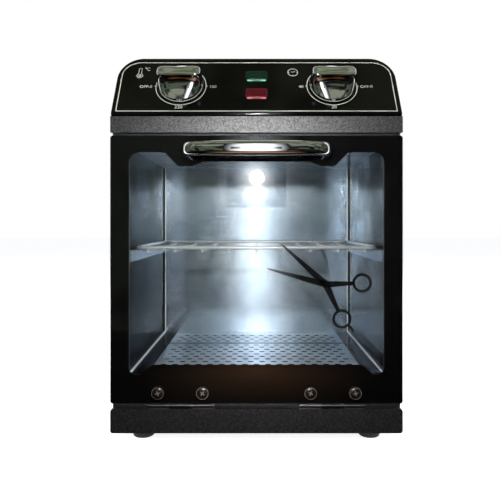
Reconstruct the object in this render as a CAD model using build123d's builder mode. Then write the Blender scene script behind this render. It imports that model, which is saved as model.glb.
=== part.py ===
"""Table-top dry heat sterilizer with a drop-down glass door, in millimetres.

The front faces -Y, +X is to the right seen from the front, and +Z is up. The origin lies on
the table, in the middle of the overall width and depth (door handle and rear socket included).
Depths are counted backwards from the front plane, which is the outer face of the door glass.
"""

import os
from math import radians, sin, tan

from build123d import *

os.makedirs("parts", exist_ok=True)

# ---------------------------------------------------------------- driving dimensions
# Case
body_width = 220.0
body_depth = 182.0  # front plane to the outer face of the rear cover
corner_radius = 19.0
sheet = 1.2
fit_gap = 0.3  # between sheets that nest in each other
foot_height = 13.0
apron_height = 18.3
apron_gap = 3.9
door_height = 201.8
band_gap = 2.3
band_height = 12.1
panel_rise = 53.2
panel_slope = 60.0
panel_thickness = 4.0
panel_lip_radius = 2.4
shell_setback = 7.0
rear_flange_width = 12.0

# Chamber, and the room around its clear inside
side_room = 13.0  # case side to chamber, for the insulation
sill_height = 20.4  # door's lower edge to chamber floor
lintel_height = 8.1  # chamber ceiling to door's upper edge
chamber_back = 153.0  # depth of the back wall behind the front plane
liner_sheet = 0.8
floor_room = 14.6  # for the lower heater
ceiling_room = 15.1  # for the upper heater
frame_depth = 8.0
frame_sheet = 1.0
lower_wool = 6.0
upper_wool = 8.0
rear_room = 6.0  # behind the insulation, for the wiring

# Perforated plates
slot_length = 10.0
slot_width = 3.0
slot_pitch = 19.0
slot_columns = 9
slot_rows = 7
plate_margin = 19.0

# Rack and its ledges
rack_height = 152.0
rack_side_gap = 2.0
rack_front = 14.0
rack_rear = 149.5
rim_wire = 3.0
rim_corner = 8.0
cross_wire = 2.5
cross_margin = 11.0  # rack's side to its first cross wire
cross_nose = 1.5
cross_count = 9
ledge_width = 8.5
ledge_drop = 9.0

# Door
glass_overhang = 0.15  # glass past the case on each side
glass_thickness = 5.0
mask_thickness = 0.3
gasket_width = 3.5
handle_length = 114.0
handle_depth = 22.0
handle_height = 11.2
handle_bar = 8.0
handle_pitch = 96.0
handle_drop = 12.0  # door's upper edge to the handle's middle
door_screw_up = 8.5
door_screw_offsets = (-16.5, 17.0)  # from the hinge's middle
screw_head_radius = 4.9
screw_head_height = 2.4
screw_head_bevel = 1.2
screw_radius = 2.4
screw_clearance = 0.3

# Hinges
hinge_side = 53.0  # case side to the hinge's middle
hinge_width = 50.0
hinge_depth = 1.6
knuckle_radius = 1.5
pin_radius = 0.8
running_gap = 0.05
knuckle_count = 3
knuckle_gap = 0.4
leaf_thickness = 2.0
leaf_sheet = 1.0

# Dials, counted on the sloped panel from its lower edge
knob_spacing = 59.0
knob_up = 31.0
knob_radius = 17.8
knob_height = 16.4
knob_seat = 0.4
knob_skirt = 4.0
grip_width = 12.0
spindle_radius = 3.0
bush_radius = 5.0
control_body = (30.0, 26.0, 22.0)
lamp_size = (17.0, 9.5)
lamp_ups = {"run": 41.2, "power": 22.5}

# Rear
inlet_x = 60.0
inlet_drop = 27.6
inlet_flange = 2.2

# Feet
foot_side = 19.0  # case side to the foot's middle
foot_inset = 30.0
foot_radius = 10.0

# Fasteners. Threaded shanks and the holes for them have six flats, and heads have twelve or
# sixteen, which keeps the solids light.
shank_sides = 6
head_sides = 12
large_head_sides = 16
small_screw_radius = 1.5
rear_screw_radius = 1.9
handle_screw_radius = 2.0
foot_screw_radius = 2.0
thread_gap = 0.1

# ---------------------------------------------------------------- places worked out from them
front_y = -(body_depth + inlet_flange - handle_depth) / 2
rear_y = front_y + body_depth
half_width = body_width / 2
apron_top = foot_height + apron_height
glass_bottom = apron_top + apron_gap
glass_top = glass_bottom + door_height
band_bottom = glass_top + band_gap
panel_foot = band_bottom + band_height
case_top = panel_foot + panel_rise
panel_run = panel_rise / tan(radians(panel_slope))
panel_reach = panel_thickness / sin(radians(panel_slope))  # level cut through the panel
inner_half = half_width - sheet - fit_gap
flange_y = rear_y - sheet
chamber_width = body_width - 2 * side_room
chamber_floor = glass_bottom + sill_height
chamber_ceiling = glass_top - lintel_height
liner_floor = chamber_floor - floor_room
liner_top = chamber_ceiling + ceiling_room
jacket_floor = liner_floor - lower_wool
shield_top = liner_top + upper_wool
jacket_depth = body_depth - rear_room
rack_width = chamber_width - 2 * rack_side_gap
cross_pitch = (rack_width - 2 * cross_margin) / (cross_count - 1)
hinge_spacing = half_width - hinge_side
door_screw_z = glass_bottom + door_screw_up
handle_z = glass_top - handle_drop
foot_spacing = half_width - foot_side
inlet_z = case_top - inlet_drop
liner_half = chamber_width / 2 + liner_sheet + 0.1
liner_front = frame_depth + frame_sheet
mask_back = glass_thickness + mask_thickness
hinge_z = glass_bottom - fit_gap - knuckle_radius
heater_radius = 3.25
lower_heater_z = (liner_floor + chamber_floor) / 2
upper_heater_z = (chamber_ceiling + liner_top) / 2


def upright(depth):
    """Upright plane at this depth behind the front plane, facing the front."""
    return Plane.XZ.offset(-(front_y + depth))


def flats(radius, mode=Mode.ADD):
    """Outline of a threaded shank, or of the hole for one."""
    RegularPolygon(radius, shank_sides, mode=mode)


def case_outline(inset, bottom, top):
    """Front view of the case: a rectangle with its two top corners round."""
    with BuildSketch() as outline:
        with Locations((0, (bottom + top) / 2)):
            Rectangle(body_width - 2 * inset, top - bottom)
        fillet(outline.vertices().group_by(Axis.Y)[-1], corner_radius - inset)
    return outline.sketch


def level_box(x_size, depths, heights, x_middle=0.0, mode=Mode.ADD):
    """Box in the current part, from its width, its two depths and its two heights."""
    low, high = heights
    near, far = depths
    with Locations((x_middle, front_y + (near + far) / 2, (low + high) / 2)):
        Box(x_size, far - near, high - low, mode=mode)


# The sloped panel's own plane: its origin is the middle of the lower front edge.
slope_plane = Plane(
    origin=(0, front_y, panel_foot),
    x_dir=(1, 0, 0),
    z_dir=(0, -sin(radians(panel_slope)), sin(radians(90 - panel_slope))),
)


def on_slope(x_place, up, out=0.0):
    """Plane on the sloped panel at this place, raised out of it."""
    return Plane(
        origin=slope_plane.from_local_coords(Vector(x_place, up, out)),
        x_dir=slope_plane.x_dir,
        z_dir=slope_plane.z_dir,
    )


# ---------------------------------------------------------------- case
rear_screw_x = 60.0
rear_flange_middle = rear_flange_width / 2
upper_rear_places = [(side * rear_screw_x, case_top - rear_flange_middle) for side in (-1, 1)]
lower_rear_places = [(side * rear_screw_x, foot_height + rear_flange_middle) for side in (-1, 1)]
rear_screw_places = upper_rear_places + lower_rear_places

with BuildPart() as outer_shell:
    with BuildSketch(upright(body_depth - sheet)):
        add(case_outline(0, foot_height, case_top))
        add(case_outline(sheet, foot_height - corner_radius, case_top - sheet), mode=Mode.SUBTRACT)
    extrude(amount=body_depth - sheet)
    with BuildSketch(upright(body_depth - sheet)):
        add(case_outline(0, foot_height + rear_flange_width, case_top))
        add(
            case_outline(rear_flange_width, foot_height, case_top - rear_flange_width),
            mode=Mode.SUBTRACT,
        )
        with Locations(*upper_rear_places):
            flats(rear_screw_radius, Mode.SUBTRACT)
    extrude(amount=sheet)
    with BuildSketch(Plane.YZ):
        with BuildLine():
            Polyline(
                (front_y + shell_setback, foot_height),
                (front_y + shell_setback, panel_foot),
                (front_y + panel_reach, panel_foot),
                (front_y + panel_reach + panel_run, case_top),
                (flange_y, case_top),
                (flange_y, foot_height),
                close=True,
            )
        make_face()
    extrude(amount=body_width, both=True, mode=Mode.INTERSECT)
outer_shell.part.label = "outer_shell"
export_step(outer_shell.part, "parts/outer_shell.step")

# The tray's front is a full-width apron, and the rest nests inside the shell.
apron_shelf = 20.0
tray_upstand = 12.0
foot_depths = (foot_inset, body_depth - foot_inset)
foot_places = [(x, front_y + depth) for x in (-foot_spacing, foot_spacing) for depth in foot_depths]
base_screw_side = 33.0
base_screw_end = 18.0
base_screw_x = half_width - base_screw_side
base_screw_depths = (base_screw_end, body_depth - base_screw_end)
base_screw_places = [(x, front_y + d) for x in (-base_screw_x, base_screw_x) for d in base_screw_depths]
hinge_screw_depth = 14.5
apron_corner = 2.0
hinge_screw_places = [
    (side * hinge_spacing + offset, front_y + hinge_screw_depth)
    for side in (-1, 1)
    for offset in (-hinge_width / 4, hinge_width / 4)
]

with BuildPart() as base_pan:
    with BuildSketch(upright(shell_setback)) as apron_face:
        with Locations((0, (foot_height + apron_top) / 2)):
            Rectangle(body_width, apron_height)
        fillet(apron_face.vertices(), apron_corner)
    extrude(amount=shell_setback)
    level_box(
        body_width - 2 * sheet, (sheet, shell_setback), (foot_height + sheet, apron_top - sheet),
        mode=Mode.SUBTRACT,
    )
    tray_width = 2 * inner_half
    tray_depths = (shell_setback, body_depth - sheet)
    level_box(tray_width, tray_depths, (foot_height, foot_height + sheet))
    level_box(tray_width, (shell_setback, apron_shelf), (apron_top - sheet, apron_top))
    rear_wall_depths = (body_depth - 2 * sheet, body_depth - sheet)
    level_box(tray_width, rear_wall_depths, (foot_height, foot_height + tray_upstand))
    for side in (-1, 1):
        wall_middle = side * (inner_half - sheet / 2)
        level_box(sheet, tray_depths, (foot_height, foot_height + tray_upstand), wall_middle)
    with BuildSketch(Plane.XY.offset(foot_height)):
        with Locations(*foot_places):
            flats(screw_radius)
        with Locations(*base_screw_places):
            flats(small_screw_radius)
    extrude(amount=sheet, mode=Mode.SUBTRACT)
    with BuildSketch(Plane.XY.offset(apron_top)):
        with Locations(*hinge_screw_places):
            flats(small_screw_radius)
    extrude(amount=-2 * sheet, mode=Mode.SUBTRACT)
    with BuildSketch(upright(body_depth)):
        with Locations(*lower_rear_places):
            flats(rear_screw_radius)
    extrude(amount=4 * sheet, mode=Mode.SUBTRACT)
base_pan.part.label = "base_pan"
export_step(base_pan.part, "parts/base_pan.step")

with BuildPart() as head_band:
    level_box(body_width, (0, shell_setback), (band_bottom, panel_foot))
    level_box(
        body_width - 2 * sheet, (sheet, shell_setback), (band_bottom + sheet, panel_foot - sheet),
        mode=Mode.SUBTRACT,
    )
    level_box(2 * inner_half, (shell_setback, frame_depth), (band_bottom, band_bottom + sheet))
head_band.part.label = "head_band"
export_step(head_band.part, "parts/head_band.step")

lamp_rim = 1.0  # lens past its stem on each side
lamp_stem = (lamp_size[0] - 2 * lamp_rim, lamp_size[1] - 2 * lamp_rim)
panel_hole_gap = 0.1

with BuildPart() as control_panel:
    with BuildSketch(upright(panel_run + panel_reach)):
        add(case_outline(0, panel_foot, case_top))
    extrude(amount=panel_run + panel_reach)
    with BuildSketch(Plane.YZ):
        with BuildLine():
            Polyline(
                (front_y, panel_foot),
                (front_y + panel_run, case_top),
                (front_y + panel_run + panel_reach, case_top),
                (front_y + panel_reach, panel_foot),
                close=True,
            )
        make_face()
    extrude(amount=body_width, both=True, mode=Mode.INTERSECT)
    fillet(control_panel.edges().filter_by(Axis.X).group_by(Axis.Y)[0], panel_lip_radius)
    with BuildSketch(slope_plane):
        with Locations((-knob_spacing, knob_up), (knob_spacing, knob_up)):
            Circle(bush_radius + panel_hole_gap)
        for lamp_up in lamp_ups.values():
            with Locations((0, lamp_up)):
                Rectangle(*[size + 2 * panel_hole_gap for size in lamp_stem])
    extrude(amount=-2 * panel_thickness, mode=Mode.SUBTRACT)
control_panel.part.label = "control_panel"
export_step(control_panel.part, "parts/control_panel.step")

rear_cover_inset = 1.0
vent_size = (34.0, 3.0)
vent_pitch = (42.0, 8.0)
upper_vent_count = (2, 5)
lower_vent_count = (4, 4)
upper_vent_x = -48.0
lower_vent_up = 47.0
inlet_body = (27.0, 19.8)
inlet_flange_size = (32.0, 25.0)
inlet_corner = 3.0

with BuildPart() as rear_cover:
    with BuildSketch(upright(body_depth)):
        add(case_outline(rear_cover_inset, foot_height + rear_cover_inset, case_top - rear_cover_inset))
        with Locations((inlet_x, inlet_z)):
            Rectangle(*[size + 2 * panel_hole_gap for size in inlet_body], mode=Mode.SUBTRACT)
        with Locations(*rear_screw_places):
            flats(rear_screw_radius, Mode.SUBTRACT)
        with Locations((upper_vent_x, inlet_z)), GridLocations(*vent_pitch, *upper_vent_count):
            Rectangle(*vent_size, mode=Mode.SUBTRACT)
        with Locations((0, foot_height + lower_vent_up)), GridLocations(*vent_pitch, *lower_vent_count):
            Rectangle(*vent_size, mode=Mode.SUBTRACT)
    extrude(amount=sheet)
rear_cover.part.label = "rear_cover"
export_step(rear_cover.part, "parts/rear_cover.step")

# ---------------------------------------------------------------- mouth of the chamber
notch_width = hinge_width + 2 * fit_gap

with BuildPart() as front_frame:
    frame_heights = (apron_top, panel_foot - fit_gap)
    level_box(2 * inner_half, (frame_depth, liner_front), frame_heights)
    with BuildSketch(upright(liner_front)) as mouth:
        with Locations((0, (chamber_floor + chamber_ceiling) / 2)):
            Rectangle(chamber_width, chamber_ceiling - chamber_floor)
        with Locations((-hinge_spacing, apron_top), (hinge_spacing, apron_top)):
            Rectangle(notch_width, 2 * (leaf_sheet + fit_gap))
    extrude(amount=2 * frame_sheet, mode=Mode.SUBTRACT)
front_frame.part.label = "front_frame"
export_step(front_frame.part, "parts/front_frame.step")

gasket_margin = 0.8
gasket_corner = 6.0

with BuildPart() as door_gasket:
    with BuildSketch(upright(frame_depth)):
        with Locations((0, (chamber_floor + chamber_ceiling) / 2)):
            inner_size = (
                chamber_width + 2 * gasket_margin,
                chamber_ceiling - chamber_floor + 2 * gasket_margin,
            )
            outer_size = (inner_size[0] + 2 * gasket_width, inner_size[1] + 2 * gasket_width)
            RectangleRounded(*outer_size, gasket_corner)
            RectangleRounded(*inner_size, gasket_corner - gasket_width, mode=Mode.SUBTRACT)
    extrude(amount=frame_depth - mask_back - fit_gap)
door_gasket.part.label = "door_gasket"
export_step(door_gasket.part, "parts/door_gasket.step")

magnet_length = 24.0
magnet_height = 3.2
strike_sheet = 0.3
magnet_bottom = chamber_ceiling + gasket_margin + gasket_width + fit_gap
magnet_heights = (magnet_bottom, magnet_bottom + magnet_height)

with BuildPart() as door_catch:
    level_box(magnet_length, (mask_back + strike_sheet + fit_gap, frame_depth), magnet_heights)
door_catch.part.label = "door_catch"
export_step(door_catch.part, "parts/door_catch.step")

with BuildPart() as catch_strike:
    level_box(magnet_length + 2, (mask_back, mask_back + strike_sheet), magnet_heights)
catch_strike.part.label = "catch_strike"
export_step(catch_strike.part, "parts/catch_strike.step")

# ---------------------------------------------------------------- chamber
heater_inset = 22.0  # chamber side to the heater's legs
heater_x = chamber_width / 2 - heater_inset
heater_gap = 0.1
sheath_sides = 8
heater_places = [(side * heater_x, z) for side in (-1, 1) for z in (lower_heater_z, upper_heater_z)]
bulb_gap = 16.0  # heater's leg to the thermostat's bulb
bulb_x = bulb_gap - heater_x
bulb_depths = (40.0, 90.0)
capillary_depth = 33.0
capillary_radius = 0.9
capillary_gap = 0.3

with BuildPart() as chamber_liner:
    liner_depths = (liner_front, chamber_back + liner_sheet)
    level_box(2 * liner_half + 2 * liner_sheet, liner_depths, (liner_floor, liner_top))
    level_box(
        2 * liner_half, (liner_front, chamber_back), (liner_floor + liner_sheet, liner_top - liner_sheet),
        mode=Mode.SUBTRACT,
    )
    with BuildSketch(upright(chamber_back + 2 * liner_sheet)):
        with Locations(*heater_places):
            RegularPolygon(heater_radius + heater_gap, sheath_sides)
    extrude(amount=4 * liner_sheet, mode=Mode.SUBTRACT)
    with Locations((bulb_x, front_y + capillary_depth, liner_top)):
        Hole(capillary_radius + capillary_gap, 2 * liner_sheet)
chamber_liner.part.label = "chamber_liner"
export_step(chamber_liner.part, "parts/chamber_liner.step")

panel_flange = 13.0
panel_bend = 3.0
side_panel_rear = chamber_back - heater_gap

for side, name in ((-1, "left"), (1, "right")):
    with BuildPart() as side_panel:
        with BuildSketch(upright(side_panel_rear)):
            with BuildLine():
                FilletPolyline(
                    (side * (chamber_width / 2 + liner_sheet / 2), chamber_ceiling - heater_gap),
                    (side * (chamber_width / 2 + liner_sheet / 2), chamber_floor + liner_sheet / 2),
                    (side * (chamber_width / 2 - panel_flange), chamber_floor + liner_sheet / 2),
                    radius=panel_bend,
                )
                offset(amount=liner_sheet / 2, kind=Kind.INTERSECTION, side=Side.BOTH)
            make_face()
        extrude(amount=side_panel_rear - liner_front)
    side_panel.part.label = f"{name}_side_panel"
    export_step(side_panel.part, f"parts/{name}_side_panel.step")

row_spacing = slot_pitch * sin(radians(60))
slot_places = [
    ((column - (slot_columns - 1 - row % 2) / 2) * slot_pitch, front_y + plate_margin + row * row_spacing)
    for row in range(slot_rows)
    for column in range(slot_columns - row % 2)
]
plate_gap = 0.2
plate_depths = (liner_front + plate_gap, chamber_back - plate_gap)
plate_width = chamber_width - plate_gap
leg_notch = 2 * heater_radius + 1.0

for name, plate_z, up in (("floor_plate", chamber_floor, -1), ("ceiling_plate", chamber_ceiling, 1)):
    foot_z = liner_floor + liner_sheet if up < 0 else liner_top - liner_sheet
    plate_heights = sorted((plate_z, plate_z + up * liner_sheet))
    leg_heights = sorted((plate_z + up * liner_sheet, foot_z))
    heater_z = lower_heater_z if up < 0 else upper_heater_z
    with BuildPart() as perforated_plate:
        level_box(plate_width, plate_depths, plate_heights)
        level_box(plate_width, (plate_depths[0], plate_depths[0] + liner_sheet), leg_heights)
        level_box(plate_width, (plate_depths[1] - liner_sheet, plate_depths[1]), leg_heights)
        notch_depths = (plate_depths[1] - 2 * liner_sheet, plate_depths[1] + liner_sheet)
        notch_heights = sorted((heater_z - up * leg_notch / 2, foot_z + up * liner_sheet))
        for side in (-1, 1):
            level_box(leg_notch, notch_depths, notch_heights, side * heater_x, mode=Mode.SUBTRACT)
        with BuildSketch(Plane.XY.offset(plate_z)):
            with Locations(*slot_places):
                Rectangle(slot_length, slot_width)
        extrude(amount=up * liner_sheet, mode=Mode.SUBTRACT)
    perforated_plate.part.label = name
    export_step(perforated_plate.part, f"parts/{name}.step")

ledge_top = rack_height - rim_wire / 2 - fit_gap
ledge_start = 12.0
ledge_depths = (ledge_start, chamber_back - running_gap)

for side, name in ((-1, "left"), (1, "right")):
    with BuildPart() as rack_rail:
        shelf_middle = side * (chamber_width / 2 - ledge_width / 2)
        web_middle = side * (chamber_width / 2 - liner_sheet / 2)
        level_box(ledge_width, ledge_depths, (ledge_top - liner_sheet, ledge_top), shelf_middle)
        level_box(liner_sheet, ledge_depths, (ledge_top - ledge_drop, ledge_top), web_middle)
    rack_rail.part.label = f"{name}_rack_rail"
    export_step(rack_rail.part, f"parts/{name}_rack_rail.step")

rim_half = rack_width / 2 - rim_wire / 2
wire_weld = 0.3  # depth to which crossing wires melt into each other
wire_sides = 8
cross_drop = (rim_wire + cross_wire) / 2 - wire_weld

with BuildPart() as wire_rack:
    with BuildLine(Plane.XY.offset(rack_height)):
        FilletPolyline(
            (0, front_y + rack_front),
            (rim_half, front_y + rack_front),
            (rim_half, front_y + rack_rear),
            (0, front_y + rack_rear),
            radius=rim_corner,
        )
    with BuildSketch(Plane(origin=(0, front_y + rack_front, rack_height), z_dir=(1, 0, 0))):
        RegularPolygon(rim_wire / 2, wire_sides)
    sweep()
    mirror(about=Plane.YZ)
    cross_length = rack_rear - rack_front + cross_nose + rim_wire / 2
    with BuildSketch(upright(rack_rear + rim_wire / 2)):
        with Locations((0, rack_height - cross_drop)), GridLocations(cross_pitch, 0, cross_count, 1):
            RegularPolygon(cross_wire / 2, wire_sides)
    extrude(amount=cross_length + rim_wire / 2)
wire_rack.part.label = "wire_rack"
export_step(wire_rack.part, "parts/wire_rack.step")

# ---------------------------------------------------------------- heat
heater_near = 28.0
heater_end = body_depth - 10.0
heater_bend = 20.0

for name, height in (("lower_heater", lower_heater_z), ("upper_heater", upper_heater_z)):
    with BuildPart() as heater:
        with BuildLine(Plane.XY.offset(height)):
            FilletPolyline(
                (-heater_x, front_y + heater_end),
                (-heater_x, front_y + heater_near),
                (heater_x, front_y + heater_near),
                (heater_x, front_y + heater_end),
                radius=heater_bend,
            )
        with BuildSketch(Plane(origin=(-heater_x, front_y + heater_end, height), z_dir=(0, -1, 0))):
            RegularPolygon(heater_radius, sheath_sides)
        sweep()
    heater.part.label = name
    export_step(heater.part, f"parts/{name}.step")

clip_size = 9.0
clip_depth = 65.0

with BuildPart() as heater_clips:
    for side in (-1, 1):
        clip_depths = (clip_depth - clip_size / 2, clip_depth + clip_size / 2)
        place = side * heater_x
        level_box(clip_size, clip_depths, (liner_floor + liner_sheet, lower_heater_z), place)
        level_box(clip_size, clip_depths, (upper_heater_z, liner_top - liner_sheet), place)
    with BuildSketch(upright(clip_depth + clip_size)):
        with Locations(*heater_places):
            RegularPolygon(heater_radius + running_gap, sheath_sides)
    extrude(amount=2 * clip_size, mode=Mode.SUBTRACT)
heater_clips.part.label = "heater_clips"
export_step(heater_clips.part, "parts/heater_clips.step")

cutout_radius = 8.0
cutout_length = 9.0
cutout_z = (chamber_floor + chamber_ceiling) / 2
jacket_gap = 0.1
wool_gap = 0.5
wool_opening = 2 * (heater_radius + wool_gap)

with BuildPart() as insulation_jacket:
    shield_sheet = liner_sheet
    wool_heights = (jacket_floor, shield_top - shield_sheet)
    level_box(2 * (inner_half - jacket_gap), (liner_front, jacket_depth), wool_heights)
    level_box(
        2 * (liner_half + liner_sheet + jacket_gap),
        (liner_front, chamber_back + liner_sheet + jacket_gap),
        (liner_floor - jacket_gap, liner_top + jacket_gap),
        mode=Mode.SUBTRACT,
    )
    with BuildSketch(upright(jacket_depth + 1)):
        with Locations(*heater_places):
            Rectangle(wool_opening, wool_opening)
        with Locations((0, cutout_z)):
            Rectangle(2 * (cutout_radius + wool_gap), 2 * (cutout_radius + wool_gap))
    extrude(amount=jacket_depth + 1 - chamber_back, mode=Mode.SUBTRACT)
    with Locations((bulb_x, front_y + capillary_depth, shield_top)):
        Hole(capillary_radius + wool_gap, shield_top - liner_top + 1)
insulation_jacket.part.label = "insulation_jacket"
export_step(insulation_jacket.part, "parts/insulation_jacket.step")

with BuildPart() as heat_shield:
    shield_depths = (liner_front, body_depth - 2 * sheet - fit_gap)
    level_box(2 * inner_half, shield_depths, (shield_top - shield_sheet, shield_top))
    with Locations((bulb_x, front_y + capillary_depth, shield_top)):
        Hole(capillary_radius + wool_gap, 2 * shield_sheet)
heat_shield.part.label = "heat_shield"
export_step(heat_shield.part, "parts/heat_shield.step")

with BuildPart() as thermal_cutout:
    with BuildSketch(upright(chamber_back + liner_sheet)):
        with Locations((0, cutout_z)):
            Circle(cutout_radius)
    extrude(amount=-cutout_length)
thermal_cutout.part.label = "thermal_cutout"
export_step(thermal_cutout.part, "parts/thermal_cutout.step")

# ---------------------------------------------------------------- controls
bush_length = 3.0
spindle_sink = 14.0
spindle_reach = 11.0
spindle_top = knob_seat + spindle_reach
flat_offset = 2.2
flat_bottom = 3.4
nut_across = 14.0
nut_height = 2.2

for side, name in ((-1, "thermostat_body"), (1, "timer_body")):
    with BuildPart() as control:
        with BuildSketch(on_slope(side * knob_spacing, knob_up, -panel_thickness)):
            Rectangle(control_body[0], control_body[1])
        extrude(amount=-control_body[2])
        with BuildSketch(on_slope(side * knob_spacing, knob_up, -panel_thickness)):
            Circle(bush_radius)
        extrude(amount=panel_thickness + bush_length)
        with BuildSketch(on_slope(side * knob_spacing, knob_up, bush_length)):
            Circle(spindle_radius + running_gap)
        extrude(amount=-(bush_length + spindle_sink + fit_gap), mode=Mode.SUBTRACT)
    control.part.label = name
    export_step(control.part, f"parts/{name}.step")

with BuildPart() as control_nuts:
    for side in (-1, 1):
        with BuildSketch(on_slope(side * knob_spacing, knob_up)):
            RegularPolygon(nut_across / 2, 6, major_radius=False)
            RegularPolygon(bush_radius + running_gap, head_sides, major_radius=False, mode=Mode.SUBTRACT)
        extrude(amount=nut_height)
control_nuts.part.label = "control_nuts"
export_step(control_nuts.part, "parts/control_nuts.step")

for side, name in ((-1, "temperature"), (1, "timer")):
    with BuildPart() as spindle:
        with BuildSketch(on_slope(side * knob_spacing, knob_up, -spindle_sink)):
            Circle(spindle_radius)
        extrude(amount=spindle_sink + spindle_top)
        with BuildSketch(on_slope(side * knob_spacing, knob_up, flat_bottom)):
            with Locations((0, flat_offset + spindle_radius)):
                Rectangle(4 * spindle_radius, 2 * spindle_radius)
        extrude(amount=spindle_top, mode=Mode.SUBTRACT)
    spindle.part.label = f"{name}_spindle"
    export_step(spindle.part, f"parts/{name}_spindle.step")

nut_recess_radius = 9.0
nut_recess_height = 3.0
scoop_waist = (9.2, 8.0)  # half width and height of the scooped flank, half way down
cut_room = 1.2

for side, name in ((-1, "temperature"), (1, "timer")):
    seat = on_slope(side * knob_spacing, knob_up, knob_seat)
    with BuildPart() as knob:
        with BuildSketch(seat):
            Circle(knob_radius)
        extrude(amount=knob_height)
        across = Plane(origin=seat.origin, x_dir=seat.y_dir, z_dir=seat.x_dir)
        for flank in (-1, 1):
            with BuildSketch(across):
                with BuildLine():
                    ThreePointArc(
                        (flank * grip_width / 2, knob_height),
                        (flank * scoop_waist[0], scoop_waist[1]),
                        (flank * knob_radius, knob_skirt),
                    )
                    Polyline(
                        (flank * knob_radius, knob_skirt),
                        (flank * cut_room * knob_radius, knob_skirt),
                        (flank * cut_room * knob_radius, cut_room * knob_height),
                        (flank * grip_width / 2, cut_room * knob_height),
                        (flank * grip_width / 2, knob_height),
                    )
                make_face()
            extrude(amount=2 * knob_radius, both=True, mode=Mode.SUBTRACT)
        with BuildSketch(seat):
            Circle(nut_recess_radius)
        extrude(amount=nut_recess_height, mode=Mode.SUBTRACT)
        with BuildSketch(seat):
            Circle(spindle_radius + running_gap)
            with Locations((0, flat_offset + running_gap + spindle_radius)):
                Rectangle(4 * spindle_radius, 2 * spindle_radius, mode=Mode.SUBTRACT)
        extrude(amount=spindle_top - knob_seat + fit_gap, mode=Mode.SUBTRACT)
    knob.part.label = f"{name}_knob"
    export_step(knob.part, f"parts/{name}_knob.step")

lens_height = 1.8
lens_corner = 2.0
lens_bevel = 0.5
lamp_depth = 16.0
lamp_shoulder = 0.75

for name, lamp_up in lamp_ups.items():
    with BuildPart() as lens:
        with BuildSketch(on_slope(0, lamp_up)):
            RectangleRounded(*lamp_size, lens_corner)
        extrude(amount=lens_height)
        chamfer(lens.faces().sort_by(SortBy.AREA)[-1].edges().filter_by(GeomType.LINE), lens_bevel)
        with BuildSketch(on_slope(0, lamp_up)):
            Rectangle(*lamp_stem)
        extrude(amount=-panel_thickness)
    lens.part.label = f"{name}_lamp_lens"
    export_step(lens.part, f"parts/{name}_lamp_lens.step")
    with BuildPart() as lamp:
        with BuildSketch(on_slope(0, lamp_up, -panel_thickness)):
            Rectangle(*[size + 2 * lamp_shoulder for size in lamp_stem])
        extrude(amount=-lamp_depth)
    lamp.part.label = f"{name}_lamp_body"
    export_step(lamp.part, f"parts/{name}_lamp_body.step")

bulb_radius = 2.5
capillary_bend = 5.0
capillary_end = 1.0

with BuildPart() as thermostat_bulb:
    with BuildLine(Plane.YZ.offset(bulb_x)):
        FilletPolyline(
            (front_y + bulb_depths[0], upper_heater_z),
            (front_y + capillary_depth, upper_heater_z),
            (front_y + capillary_depth, shield_top + capillary_end),
            radius=capillary_bend,
        )
    with BuildSketch(Plane(origin=(bulb_x, front_y + bulb_depths[0], upper_heater_z), z_dir=(0, -1, 0))):
        RegularPolygon(capillary_radius, sheath_sides)
    sweep()
    with BuildSketch(upright(bulb_depths[1])):
        with Locations((bulb_x, upper_heater_z)):
            Circle(bulb_radius)
    extrude(amount=bulb_depths[1] - bulb_depths[0])
thermostat_bulb.part.label = "thermostat_bulb"
export_step(thermostat_bulb.part, "parts/thermostat_bulb.step")

terminal_width = 44.0
terminal_run = 22.0
terminal_height = 16.0
terminal_x = -40.0
terminal_room = 51.0  # block's middle to the rear cover's face
terminal_depth = body_depth - terminal_room
terminal_pitch = (10.0, 12.0)
terminal_well = 6.0

with BuildPart() as terminal_block:
    terminal_depths = (terminal_depth - terminal_run / 2, terminal_depth + terminal_run / 2)
    level_box(terminal_width, terminal_depths, (shield_top, shield_top + terminal_height), terminal_x)
    with BuildSketch(Plane.XY.offset(shield_top + terminal_height)):
        with Locations((terminal_x, front_y + terminal_depth)), GridLocations(*terminal_pitch, 4, 2):
            Rectangle(terminal_well, terminal_well)
    extrude(amount=-terminal_well, mode=Mode.SUBTRACT)
terminal_block.part.label = "terminal_block"
export_step(terminal_block.part, "parts/terminal_block.step")

# ---------------------------------------------------------------- rear socket
inlet_cavity = (24.4, 16.4)
inlet_cavity_depth = 15.0
inlet_body_depth = 18.0
blade_size = (2.0, 4.0)
blade_length = 11.0
blade_spread = 7.0
earth_rise = 2.0
blade_places = [(inlet_x + side * blade_spread, inlet_z - earth_rise) for side in (-1, 1)]
blade_places.append((inlet_x, inlet_z + earth_rise))
inlet_face = body_depth + inlet_flange

with BuildPart() as power_inlet:
    with BuildSketch(upright(inlet_face)):
        with Locations((inlet_x, inlet_z)):
            RectangleRounded(*inlet_flange_size, inlet_corner)
    extrude(amount=inlet_flange)
    with BuildSketch(upright(body_depth)):
        with Locations((inlet_x, inlet_z)):
            Rectangle(*inlet_body)
    extrude(amount=inlet_body_depth)
    with BuildSketch(upright(inlet_face)):
        with Locations((inlet_x, inlet_z)):
            Rectangle(*inlet_cavity)
    extrude(amount=inlet_cavity_depth, mode=Mode.SUBTRACT)
power_inlet.part.label = "power_inlet"
export_step(power_inlet.part, "parts/power_inlet.step")

with BuildPart() as inlet_blades:
    with BuildSketch(upright(inlet_face - inlet_cavity_depth)):
        with Locations(*blade_places):
            Rectangle(*blade_size)
    extrude(amount=-blade_length)
inlet_blades.part.label = "inlet_blades"
export_step(inlet_blades.part, "parts/inlet_blades.step")

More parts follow.
